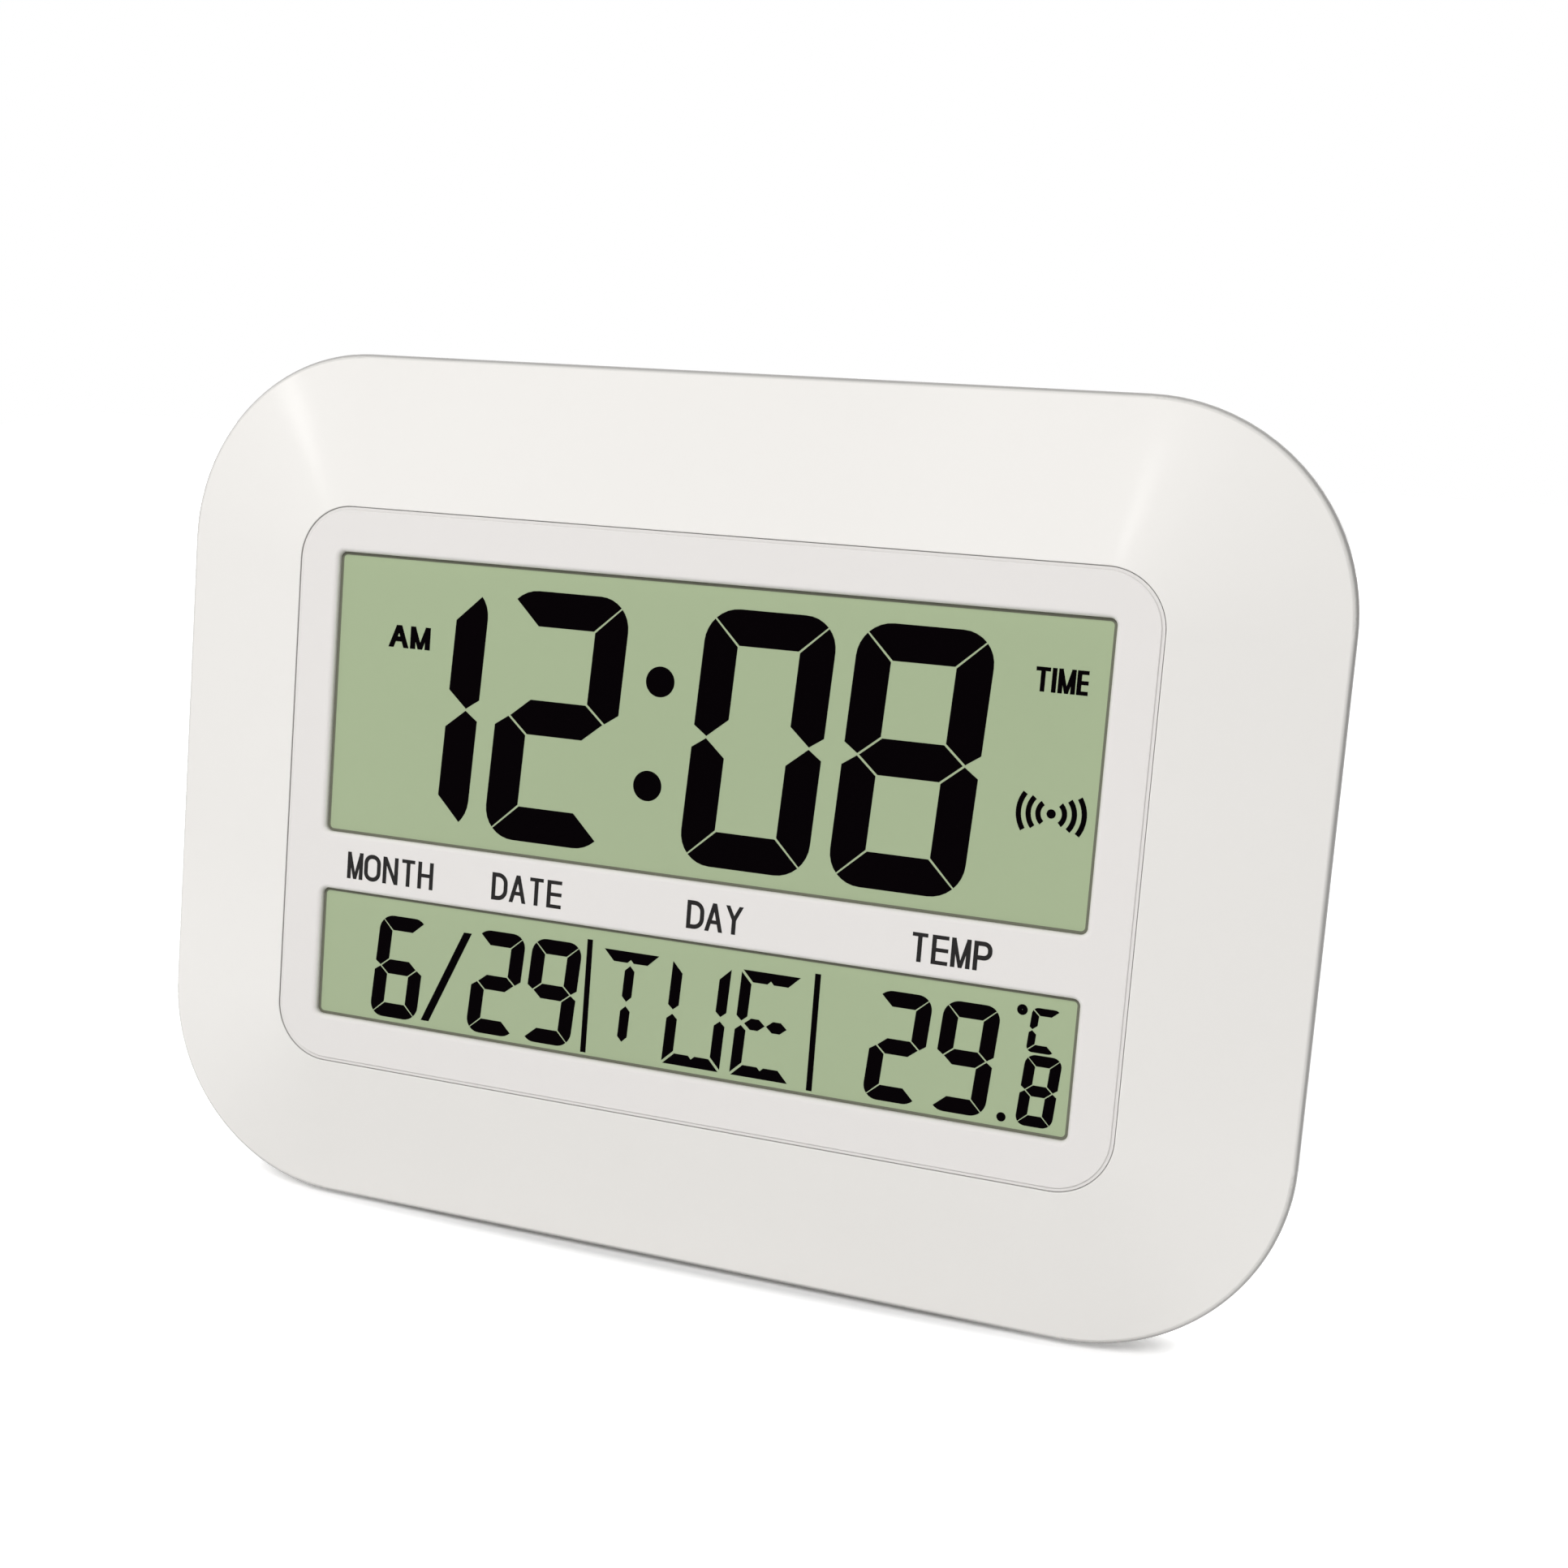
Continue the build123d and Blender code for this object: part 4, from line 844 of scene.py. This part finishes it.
def clear_glass():
    """Thin clear glass with a faint haze."""
    finish, shader = moulded(
        "lcd_glass", (0.86, 0.9, 0.88), spread=0.01, depth=0.000002, scale=800.0, smooth=0.02, rough=0.06)
    preset(shader, {"Transmission Weight": 1.0, "IOR": 1.52})
    return finish


def banded(name, first, second, axis, pitch, metallic, rough):
    """Fine bands across an axis, for wire turns and striped rubber."""
    finish, nodes, link, shader = blank_finish(name)
    place = nodes.new("ShaderNodeTexCoord")
    bands = nodes.new("ShaderNodeTexWave")
    bands.bands_direction = axis
    # Waves lie pi / (10 x scale) apart
    preset(bands, {"Scale": math.pi / (10 * pitch), "Distortion": 0.3})
    tone = two_tone(nodes, (*first, 1.0), (*second, 1.0))
    bump = nodes.new("ShaderNodeBump")
    preset(bump, {"Distance": pitch / 4})
    link(place.outputs["Object"], bands.inputs["Vector"])
    link(bands.outputs["Fac"], tone.inputs[MIX_FACTOR])
    link(tone.outputs[MIX_RESULT], shader.inputs["Base Color"])
    link(bands.outputs["Fac"], bump.inputs["Height"])
    link(bump.outputs["Normal"], shader.inputs["Normal"])
    preset(shader, {"Metallic": metallic, "Roughness": rough})
    return finish


def segment_finish(context):
    """The dark liquid-crystal finish, made once."""
    finish = bpy.data.materials.get("segment_black")
    if finish is None:
        colour = context.scene.clock_colours.segments
        finish, shader = moulded(
            "segment_black", colour, spread=0.3, depth=0.000002, scale=6000.0, smooth=0.36, rough=0.44)
        preset(shader, {"Specular IOR Level": 0.01})
    return finish


def dressed(finish, *nodes):
    """Gives CAD pieces a finish."""
    for node in nodes:
        slots = frame["nodes"][node].data.materials
        slots.clear()
        slots.append(finish)


# Operators

class CLOCK_OT_mouldings(bpy.types.Operator):
    """Finish the frame, panel, cover, stand, door and keys"""

    bl_idname = "clock.mouldings"
    bl_label = "Moulded pieces"

    def execute(self, context):
        colours = context.scene.clock_colours
        case, shader = moulded("case_white", colours.case, smooth=0.13, rough=0.18)
        preset(shader, {"Specular IOR Level": 0.3})
        # Painted shade in the seam
        seamed(case, shader)
        # Painted shade on the rounded rim
        rim_painted_shade(case, shader, darkest=0.45)
        dressed(case, "front_frame")
        panel, shader = moulded("panel_white", colours.panel, smooth=0.42, rough=0.5)
        # Painted shade in the seam
        seamed(panel, shader)
        dressed(panel, "display_panel")
        cover = moulded("cover_white", colours.cover, depth=0.00003, scale=1600.0, smooth=0.45, rough=0.6)[0]
        dressed(cover, "rear_cover", "stand_leg", "battery_door")
        keys = moulded("key_grey", colours.keys, spread=0.03, smooth=0.4, rough=0.52)[0]
        dressed(keys, *KEY_WORDS)
        return {"FINISHED"}


class CLOCK_OT_display_layers(bpy.types.Operator):
    """Finish the display's film, glass, reflector and rubber strip"""

    bl_idname = "clock.display_layers"
    bl_label = "Display layers"

    def execute(self, context):
        colour = context.scene.clock_colours.display
        film = moulded(
            "lcd_face", colour, spread=0.025, depth=0.000004, scale=6000.0, smooth=0.36, rough=0.44)[0]
        dressed(film, "lcd_front_polariser")
        dressed(clear_glass(), "lcd_front_glass", "lcd_rear_glass")
        dressed(plated("lcd_reflector", (0.72, 0.74, 0.72), smooth=0.4, rough=0.55), "lcd_reflector")
        rubber = banded(
            "zebra_rubber", (0.012, 0.012, 0.012), (0.35, 0.3, 0.26), axis="X", pitch=0.0002, metallic=0.0,
            rough=0.6)
        dressed(rubber, "zebra_strip")
        return {"FINISHED"}


class CLOCK_OT_inner_works(bpy.types.Operator):
    """Finish the chassis, board, aerial, buzzer, cells, contacts and screws"""

    bl_idname = "clock.inner_works"
    bl_label = "Inner works"

    def execute(self, context):
        chassis = moulded("chassis_plastic", (0.075, 0.078, 0.082), spread=0.06)[0]
        dressed(chassis, "display_chassis")
        board, shader = moulded(
            "board_green", (0.006, 0.066, 0.018), spread=0.25, depth=0.00002, scale=260.0, smooth=0.18,
            rough=0.3)
        preset(shader, {"Coat Weight": 0.4})
        dressed(board, "main_circuit_board", "radio_receiver_module")
        resin = moulded(
            "chip_resin", (0.004, 0.004, 0.004), spread=0.4, depth=0.00003, scale=500.0, smooth=0.12,
            rough=0.25)[0]
        dressed(resin, "controller_chip")
        dressed(moulded("switch_black", (0.008, 0.008, 0.008), spread=0.2)[0], "tact_switches")
        bead = moulded("sensor_bead", (0.01, 0.01, 0.013), spread=0.3, scale=900.0, smooth=0.15, rough=0.3)[0]
        dressed(bead, "temperature_sensor")
        rod = moulded(
            "ferrite", (0.017, 0.017, 0.019), spread=0.35, depth=0.00004, scale=900.0, smooth=0.5,
            rough=0.7)[0]
        dressed(rod, "ferrite_rod")
        wire = banded(
            "copper", (0.2, 0.06, 0.02), (0.55, 0.2, 0.08), axis="X", pitch=0.0003, metallic=1.0, rough=0.28)
        dressed(wire, "antenna_winding")
        dressed(plated("can_steel", (0.6, 0.6, 0.6)), "quartz_crystal")
        dressed(plated("buzzer_brass", (0.6, 0.4, 0.1)), "piezo_buzzer")
        jacket, shader = moulded(
            "cell_jacket", (0.035, 0.06, 0.075), spread=0.1, scale=700.0, smooth=0.2, rough=0.3)
        preset(shader, {"Coat Weight": 0.5})
        dressed(jacket, "battery_cell_upper", "battery_cell_lower")
        contacts = plated("contact_steel", (0.66, 0.65, 0.62), smooth=0.18, rough=0.34)
        dressed(contacts, "series_contact", "positive_contact", "negative_contact")
        dressed(plated("screw_steel", (0.42, 0.42, 0.43)), "case_screws", "chassis_screws", "board_screws")
        return {"FINISHED"}


class CLOCK_OT_time_figures(bpy.types.Operator):
    """Make the large time figures and the colon"""

    bl_idname = "clock.time_figures"
    bl_label = "Time figures"

    def execute(self, context):
        sizes = context.scene.clock_sizes
        finish = segment_finish(context)
        style = {
            "width": sizes.time_width, "height": sizes.time_height, "stroke": sizes.time_stroke,
            "corner": TIME_CORNER * sizes.time_stroke, "gap": sizes.bar_gap, "slant": sizes.time_slant,
            "rise": sizes.ink_rise,
        }
        row = 0.0177
        wanted = [
            ("time_tens_of_hours", "1", -0.0561, row),
            ("time_hours", "2", -0.0275, row),
            ("time_tens_of_minutes", "0", 0.0123, row),
            ("time_minutes", "8", 0.0409, row),
        ]
        figures(style, wanted, finish)
        radius = 0.0028
        dots = [disc("colon", -0.0072, 0.02675, radius), disc("colon", -0.0083, 0.00755, radius)]
        lit(joined("time_colon", dots), sizes.ink_rise, finish)
        return {"FINISHED"}


class CLOCK_OT_date_figures(bpy.types.Operator):
    """Make the month and date figures, the stroke between them and the two upright lines"""

    bl_idname = "clock.date_figures"
    bl_label = "Date figures"

    def execute(self, context):
        sizes = context.scene.clock_sizes
        finish = segment_finish(context)
        row = -0.03352
        wanted = [
            ("date_month", "6", -0.05744, row),
            ("date_tens", "2", -0.03646, row),
            ("date_units", "9", -0.02477, row),
        ]
        figures(small_style(sizes), wanted, finish)
        half_breadth, half_height, slope = 0.00085, 0.00915, 0.447
        stroke = sheet("date_stroke", -half_breadth, half_breadth, -half_height, half_height)
        stroke.data.transform(Matrix.Translation((-0.04707, -0.03385, 0)) @ slanted(math.atan(slope)))
        lit(stroke, sizes.ink_rise, finish)
        half_breadth, bottom, top = 0.00055, -0.04385, -0.02235
        for name, x in (("line_after_date", -0.01752), ("line_after_day", 0.0273)):
            line = sheet(name, x - half_breadth, x + half_breadth, bottom, top)
            lit(line, sizes.ink_rise, finish)
        return {"FINISHED"}


class CLOCK_OT_weekday_letters(bpy.types.Operator):
    """Make the three weekday letters"""

    bl_idname = "clock.weekday_letters"
    bl_label = "Weekday letters"

    def execute(self, context):
        sizes = context.scene.clock_sizes
        style = {
            "width": sizes.letter_width, "height": sizes.letter_height, "stroke": sizes.letter_stroke,
            "slant": sizes.letter_slant, "rise": sizes.ink_rise,
        }
        row = -0.03343
        wanted = [
            ("day_first", "T", -0.0095, row),
            ("day_second", "U", 0.0046, row),
            ("day_third", "E", 0.0181, row),
        ]
        letters(style, wanted, segment_finish(context))
        return {"FINISHED"}


class CLOCK_OT_temperature_figures(bpy.types.Operator):
    """Make the temperature figures, the point and the degree sign"""

    bl_idname = "clock.temperature_figures"
    bl_label = "Temperature figures"

    def execute(self, context):
        sizes = context.scene.clock_sizes
        finish = segment_finish(context)
        row = -0.03335
        wanted = [("temperature_tens", "2", 0.04305, row), ("temperature_units", "9", 0.0553, row)]
        figures(small_style(sizes), wanted, finish)
        tenth = {
            "width": 0.0065, "height": 0.0127, "stroke": 0.00195, "corner": 0.0018, "gap": 0.0002,
            "slant": sizes.small_slant, "rise": sizes.ink_rise,
        }
        figures(tenth, [("temperature_tenths", "8", 0.06885, -0.0371)], finish)
        unit = {
            "width": 0.0050, "height": 0.0079, "stroke": 0.00135, "corner": 0.0011, "gap": 0.0002,
            "slant": sizes.small_slant, "rise": sizes.ink_rise,
        }
        figures(unit, [("temperature_scale", "C", 0.0687, -0.0264)], finish)
        point = disc("temperature_point", x=0.0627, y=-0.0426, radius=0.00082)
        lit(point, sizes.ink_rise, finish)
        degree = curved_line(
            "degree_ring", (0.0647, -0.02315), radius=0.0005, breadth=0.0009, half_angle=math.pi, facing=0.0)
        lit(degree, sizes.ink_rise, finish)
        return {"FINISHED"}


class CLOCK_OT_display_words(bpy.types.Operator):
    """Make the two small words and the radio sign on the display"""

    bl_idname = "clock.display_words"
    bl_label = "Display words"

    def execute(self, context):
        sizes = context.scene.clock_sizes
        finish = segment_finish(context)
        before_noon = (("A", -0.06355, -0.0592), ("M", -0.0589, -0.05465))
        time = (("T", 0.0616, 0.0641), ("I", 0.0644, 0.0653), ("M", 0.0655, 0.0685), ("E", 0.0687, 0.0707))
        words = (
            ("word_before_noon", before_noon, 0.0281, 0.03235, 0.00112),
            ("word_time", time, 0.0319, 0.0361, 0.0008),
        )
        for name, text, low, high, breadth in words:
            piece = block_word(name, text, low, high, breadth)
            lit(piece, sizes.ink_rise, finish)
            merged(piece)
        middle, dot, breadth = (0.06645, 0.01127), 0.0008, 0.00092
        parts = [disc("radio", *middle, dot)]
        for radius, half_angle in ((0.0023, 48.0), (0.0040, 40.0), (0.0057, 34.0)):
            for facing in (0.0, math.pi):
                parts.append(curved_line("radio", middle, radius, breadth, math.radians(half_angle), facing))
        lit(joined("radio_sign", parts), sizes.ink_rise, finish)
        return {"FINISHED"}


class CLOCK_OT_window_lines(bpy.types.Operator):
    """Lay the dark line round each window on the display's film"""

    bl_idname = "clock.window_lines"
    bl_label = "Window lines"

    def execute(self, context):
        sizes = context.scene.clock_sizes
        colour = context.scene.clock_colours.border
        finish, shader = moulded("window_dark_line", colour, spread=0.1, scale=4000.0)
        preset(shader, {"Specular IOR Level": 0.2})
        half, corner = 0.07469, 0.0013
        windows = (("line_upper_window", -0.00869, 0.04534), ("line_lower_window", -0.04489, -0.01981))
        for name, bottom, top in windows:
            corners = [(x, y) for x in (-half, half) for y in (bottom, top)]
            piece = ring(name, -half, half, bottom, top, corners, corner, sizes.border)
            laid(piece, film_place(), sizes.ink_rise, "case", finish)
        return {"FINISHED"}


class CLOCK_OT_panel_legends(bpy.types.Operator):
    """Print the four words between the windows"""

    bl_idname = "clock.panel_legends"
    bl_label = "Panel legends"

    def execute(self, context):
        sizes = context.scene.clock_sizes
        finish, shader = moulded("legend_ink", context.scene.clock_colours.legends, spread=0.2, scale=4000.0)
        preset(shader, {"Specular IOR Level": 0.15})
        place = face_place(reach("display_panel", OUT))
        low, high = -0.01725, -0.01205
        words = {
            "month": (("M", -0.0691, -0.0657), ("O", -0.0654, -0.0618), ("N", -0.0613, -0.0580),
                      ("T", -0.0572, -0.0544), ("H", -0.0537, -0.0504)),
            "date": (("D", -0.0379, -0.0346), ("A", -0.0342, -0.0307), ("T", -0.0300, -0.0272),
                     ("E", -0.0264, -0.0234)),
            "day": (("D", 0.0018, 0.0052), ("A", 0.0054, 0.0089), ("Y", 0.0093, 0.0127)),
            "temp": (("T", 0.0444, 0.0472), ("E", 0.0480, 0.0510), ("M", 0.0515, 0.0550),
                     ("P", 0.0555, 0.0588)),
        }
        for name, text in words.items():
            piece = block_word("legend_" + name, text, low, high, sizes.legend_stroke)
            laid(piece, place, sizes.ink_rise, "case", finish)
            merged(piece)
        return {"FINISHED"}


class CLOCK_OT_key_marks(bpy.types.Operator):
    """Print what each key does above it on the back"""

    bl_idname = "clock.key_marks"
    bl_label = "Key marks"

    def execute(self, context):
        sizes = context.scene.clock_sizes
        finish = moulded("mark_grey", context.scene.clock_colours.marks, spread=0.15, scale=4000.0)[0]
        place = back_place(reach("rear_cover", -OUT))
        above, height, half_letter = 0.0085, 0.0022, 0.00075
        minus_bottom, minus_top = 0.0009, 0.0013
        for node, text in KEY_WORDS.items():
            low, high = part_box(node)
            x, y = seen_from_behind(low, high)
            half = half_letter * len(text)
            bottom, top = y + above, y + above + height
            if text == "-":
                bottom, top = y + above + minus_bottom, y + above + minus_top
            piece = word("mark_" + node, text, x - half, x + half, bottom, top)
            laid(piece, place, sizes.ink_rise, "case", finish)
        return {"FINISHED"}


class CLOCK_OT_door_arrow(bpy.types.Operator):
    """Mould an arrow on the battery door that points at its latch"""

    bl_idname = "clock.door_arrow"
    bl_label = "Door arrow"

    def execute(self, context):
        half_width, half_height, above, slope, rise = 0.0035, 0.002, 0.003, 1.15, 0.00008
        low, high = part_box("battery_door")
        x, y = seen_from_behind(low, high)
        bottom, top = y + above - half_height, y + above + half_height
        piece = sheet("door_arrow", x - half_width, x + half_width, bottom, top)
        for across in (-1, 1):
            cut(piece, Vector((x, top, 0)), Vector((across * slope, 1, 0)))
        colour = context.scene.clock_colours.cover
        finish = moulded(
            "arrow_white", colour, spread=0.03, depth=0.00003, scale=1600.0, smooth=0.4, rough=0.55)[0]
        laid(piece, back_place(reach("battery_door", -OUT)), rise, "door", finish)
        return {"FINISHED"}


class CLOCK_OT_studio(bpy.types.Operator):
    """Set the table, the white room, the lights and the camera"""

    bl_idname = "clock.studio"
    bl_label = "Studio"

    def execute(self, context):
        studio = context.scene.clock_studio
        context.scene.view_settings.view_transform = "Standard"
        self.table()
        self.room(context.scene, studio)
        self.lamp("key_softbox", (-0.075, -0.96, 1.23), size=0.6, power=studio.key, mirrored=False)
        self.lamp("side_softbox", (-1.075, -0.72, 0.84), size=0.5, power=studio.side, mirrored=False)
        self.lamp("rear_softbox", (0.35, 1.2, 0.85), size=0.6, power=studio.rear, mirrored=False)
        self.lamp("right_glint", (-0.08, -1.043, 1.221), size=0.08, power=studio.glint, mirrored=True)
        self.lamp("left_glint", (-1.185, -0.69, 0.9), size=0.08, power=studio.glint, mirrored=True)
        self.camera(context.scene, studio)
        return {"FINISHED"}

    def seen(self, nodes, link):
        """One for rays from the camera, off a glossy piece or through glass, and nought for the rest."""
        path = nodes.new("ShaderNodeLightPath")
        mirrored = nodes.new("ShaderNodeMath")
        mirrored.operation = "MAXIMUM"
        either = nodes.new("ShaderNodeMath")
        either.operation = "MAXIMUM"
        link(path.outputs["Is Glossy Ray"], mirrored.inputs[0])
        link(path.outputs["Is Transmission Ray"], mirrored.inputs[1])
        link(path.outputs["Is Camera Ray"], either.inputs[0])
        link(mirrored.outputs["Value"], either.inputs[1])
        return either.outputs["Value"]

    def table(self):
        """A wide white table top that looks white to the camera and still takes the shadow; in a strip at the
        lower rim it glows less, a painted shadow over the real one.
        """
        bpy.ops.object.select_all(action="DESELECT")
        bpy.ops.mesh.primitive_plane_add(size=1.6, location=(0, 0, 0))
        top = bpy.context.object
        top.name = "table_top"
        paper, nodes, link, shader = blank_finish("table_paper")
        preset(shader, {
            "Base Color": (0.81, 0.81, 0.81, 1.0), "Roughness": 0.9, "Specular IOR Level": 0.1,
            "Emission Color": (1.0, 1.0, 1.0, 1.0),
        })
        place = nodes.new("ShaderNodeTexCoord")
        spread = nodes.new("ShaderNodeMapping")
        preset(spread, {"Location": PAINTED_SHADOW_SHIFT, "Scale": PAINTED_SHADOW_SCALE})
        nearness = nodes.new("ShaderNodeTexGradient")
        nearness.gradient_type = "SPHERICAL"
        # The glow drops in the strip at the lower rim: a painted shadow there
        glow = nodes.new("ShaderNodeMapRange")
        preset(glow, {"From Max": PAINTED_SHADOW_FULL, "To Min": TABLE_GLOW, "To Max": PAINTED_SHADOW_GLOW})
        lift = nodes.new("ShaderNodeMath")
        lift.operation = "MULTIPLY"
        link(place.outputs["Object"], spread.inputs["Vector"])
        link(spread.outputs["Vector"], nearness.inputs["Vector"])
        link(nearness.outputs["Fac"], glow.inputs["Value"])
        link(glow.outputs["Result"], lift.inputs[1])
        link(self.seen(nodes, link), lift.inputs[0])
        link(lift.outputs["Value"], shader.inputs["Emission Strength"])
        top.data.materials.append(paper)

    def room(self, scene, studio):
        """White all round for the camera and reflections, and an even light for the rest."""
        room = bpy.data.worlds.new("white_room")
        room.use_nodes = True
        nodes, link = room.node_tree.nodes, room.node_tree.links.new
        light = nodes["Background"]
        preset(light, {"Color": (1.0, 1.0, 1.0, 1.0)})
        level = nodes.new("ShaderNodeMapRange")
        preset(level, {"To Min": studio.sky, "To Max": 1.0})
        link(self.seen(nodes, link), level.inputs["Value"])
        link(level.outputs["Result"], light.inputs["Strength"])
        scene.world = room

    def lamp(self, name, place, size, power, mirrored):
        """A square softbox aimed at the clock, which shows in glossy pieces where mirrored is true."""
        bpy.ops.object.select_all(action="DESELECT")
        aim = (LAMP_AIM - Vector(place)).to_track_quat("-Z", "Y").to_euler()
        bpy.ops.object.light_add(type="AREA", location=place, rotation=aim)
        lamp = bpy.context.object
        lamp.name = name
        lamp.data.shape = "SQUARE"
        lamp.data.size = size
        lamp.data.energy = power
        lamp.visible_glossy = mirrored

    def camera(self, scene, studio):
        """The photograph's viewpoint."""
        bpy.ops.object.select_all(action="DESELECT")
        turn = Vector(studio.camera_aim).to_track_quat("-Z", "Y").to_euler()
        bpy.ops.object.camera_add(location=studio.camera_place, rotation=turn)
        camera = bpy.context.object
        camera.name = "photo_camera"
        camera.data.sensor_width = 36.0
        camera.data.lens = studio.lens
        camera.data.clip_start = 0.01
        scene.camera = camera


OPERATORS = (
    CLOCK_OT_mouldings,
    CLOCK_OT_display_layers,
    CLOCK_OT_inner_works,
    CLOCK_OT_time_figures,
    CLOCK_OT_date_figures,
    CLOCK_OT_weekday_letters,
    CLOCK_OT_temperature_figures,
    CLOCK_OT_display_words,
    CLOCK_OT_window_lines,
    CLOCK_OT_panel_legends,
    CLOCK_OT_key_marks,
    CLOCK_OT_door_arrow,
    CLOCK_OT_studio,
)


class CLOCK_PT_sidebar(bpy.types.Panel):
    """The clock's pieces and settings in the sidebar"""

    bl_idname = "CLOCK_PT_sidebar"
    bl_label = "Digital Wall Clock"
    bl_space_type = "VIEW_3D"
    bl_region_type = "UI"
    bl_category = "Clock"

    def draw(self, context):
        for operator in OPERATORS:
            self.layout.operator(operator.bl_idname)
        for group in (context.scene.clock_sizes, context.scene.clock_colours, context.scene.clock_studio):
            for label in group.__annotations__:
                self.layout.prop(group, label)


CLASSES = (ClockDisplaySizes, ClockColours, ClockStudio, *OPERATORS, CLOCK_PT_sidebar)


def register():
    for kind in CLASSES:
        bpy.utils.register_class(kind)
    bpy.types.Scene.clock_sizes = bpy.props.PointerProperty(type=ClockDisplaySizes)
    bpy.types.Scene.clock_colours = bpy.props.PointerProperty(type=ClockColours)
    bpy.types.Scene.clock_studio = bpy.props.PointerProperty(type=ClockStudio)


def unregister():
    del bpy.types.Scene.clock_studio
    del bpy.types.Scene.clock_colours
    del bpy.types.Scene.clock_sizes
    for kind in reversed(CLASSES):
        bpy.utils.unregister_class(kind)


def main():
    """Builds the whole clock."""
    register()
    bpy.ops.clock.mouldings()
    bpy.ops.clock.display_layers()
    bpy.ops.clock.inner_works()
    bpy.ops.clock.time_figures()
    bpy.ops.clock.date_figures()
    bpy.ops.clock.weekday_letters()
    bpy.ops.clock.temperature_figures()
    bpy.ops.clock.display_words()
    bpy.ops.clock.window_lines()
    bpy.ops.clock.panel_legends()
    bpy.ops.clock.key_marks()
    bpy.ops.clock.door_arrow()
    bpy.ops.clock.studio()


if __name__ == "__main__":
    main()
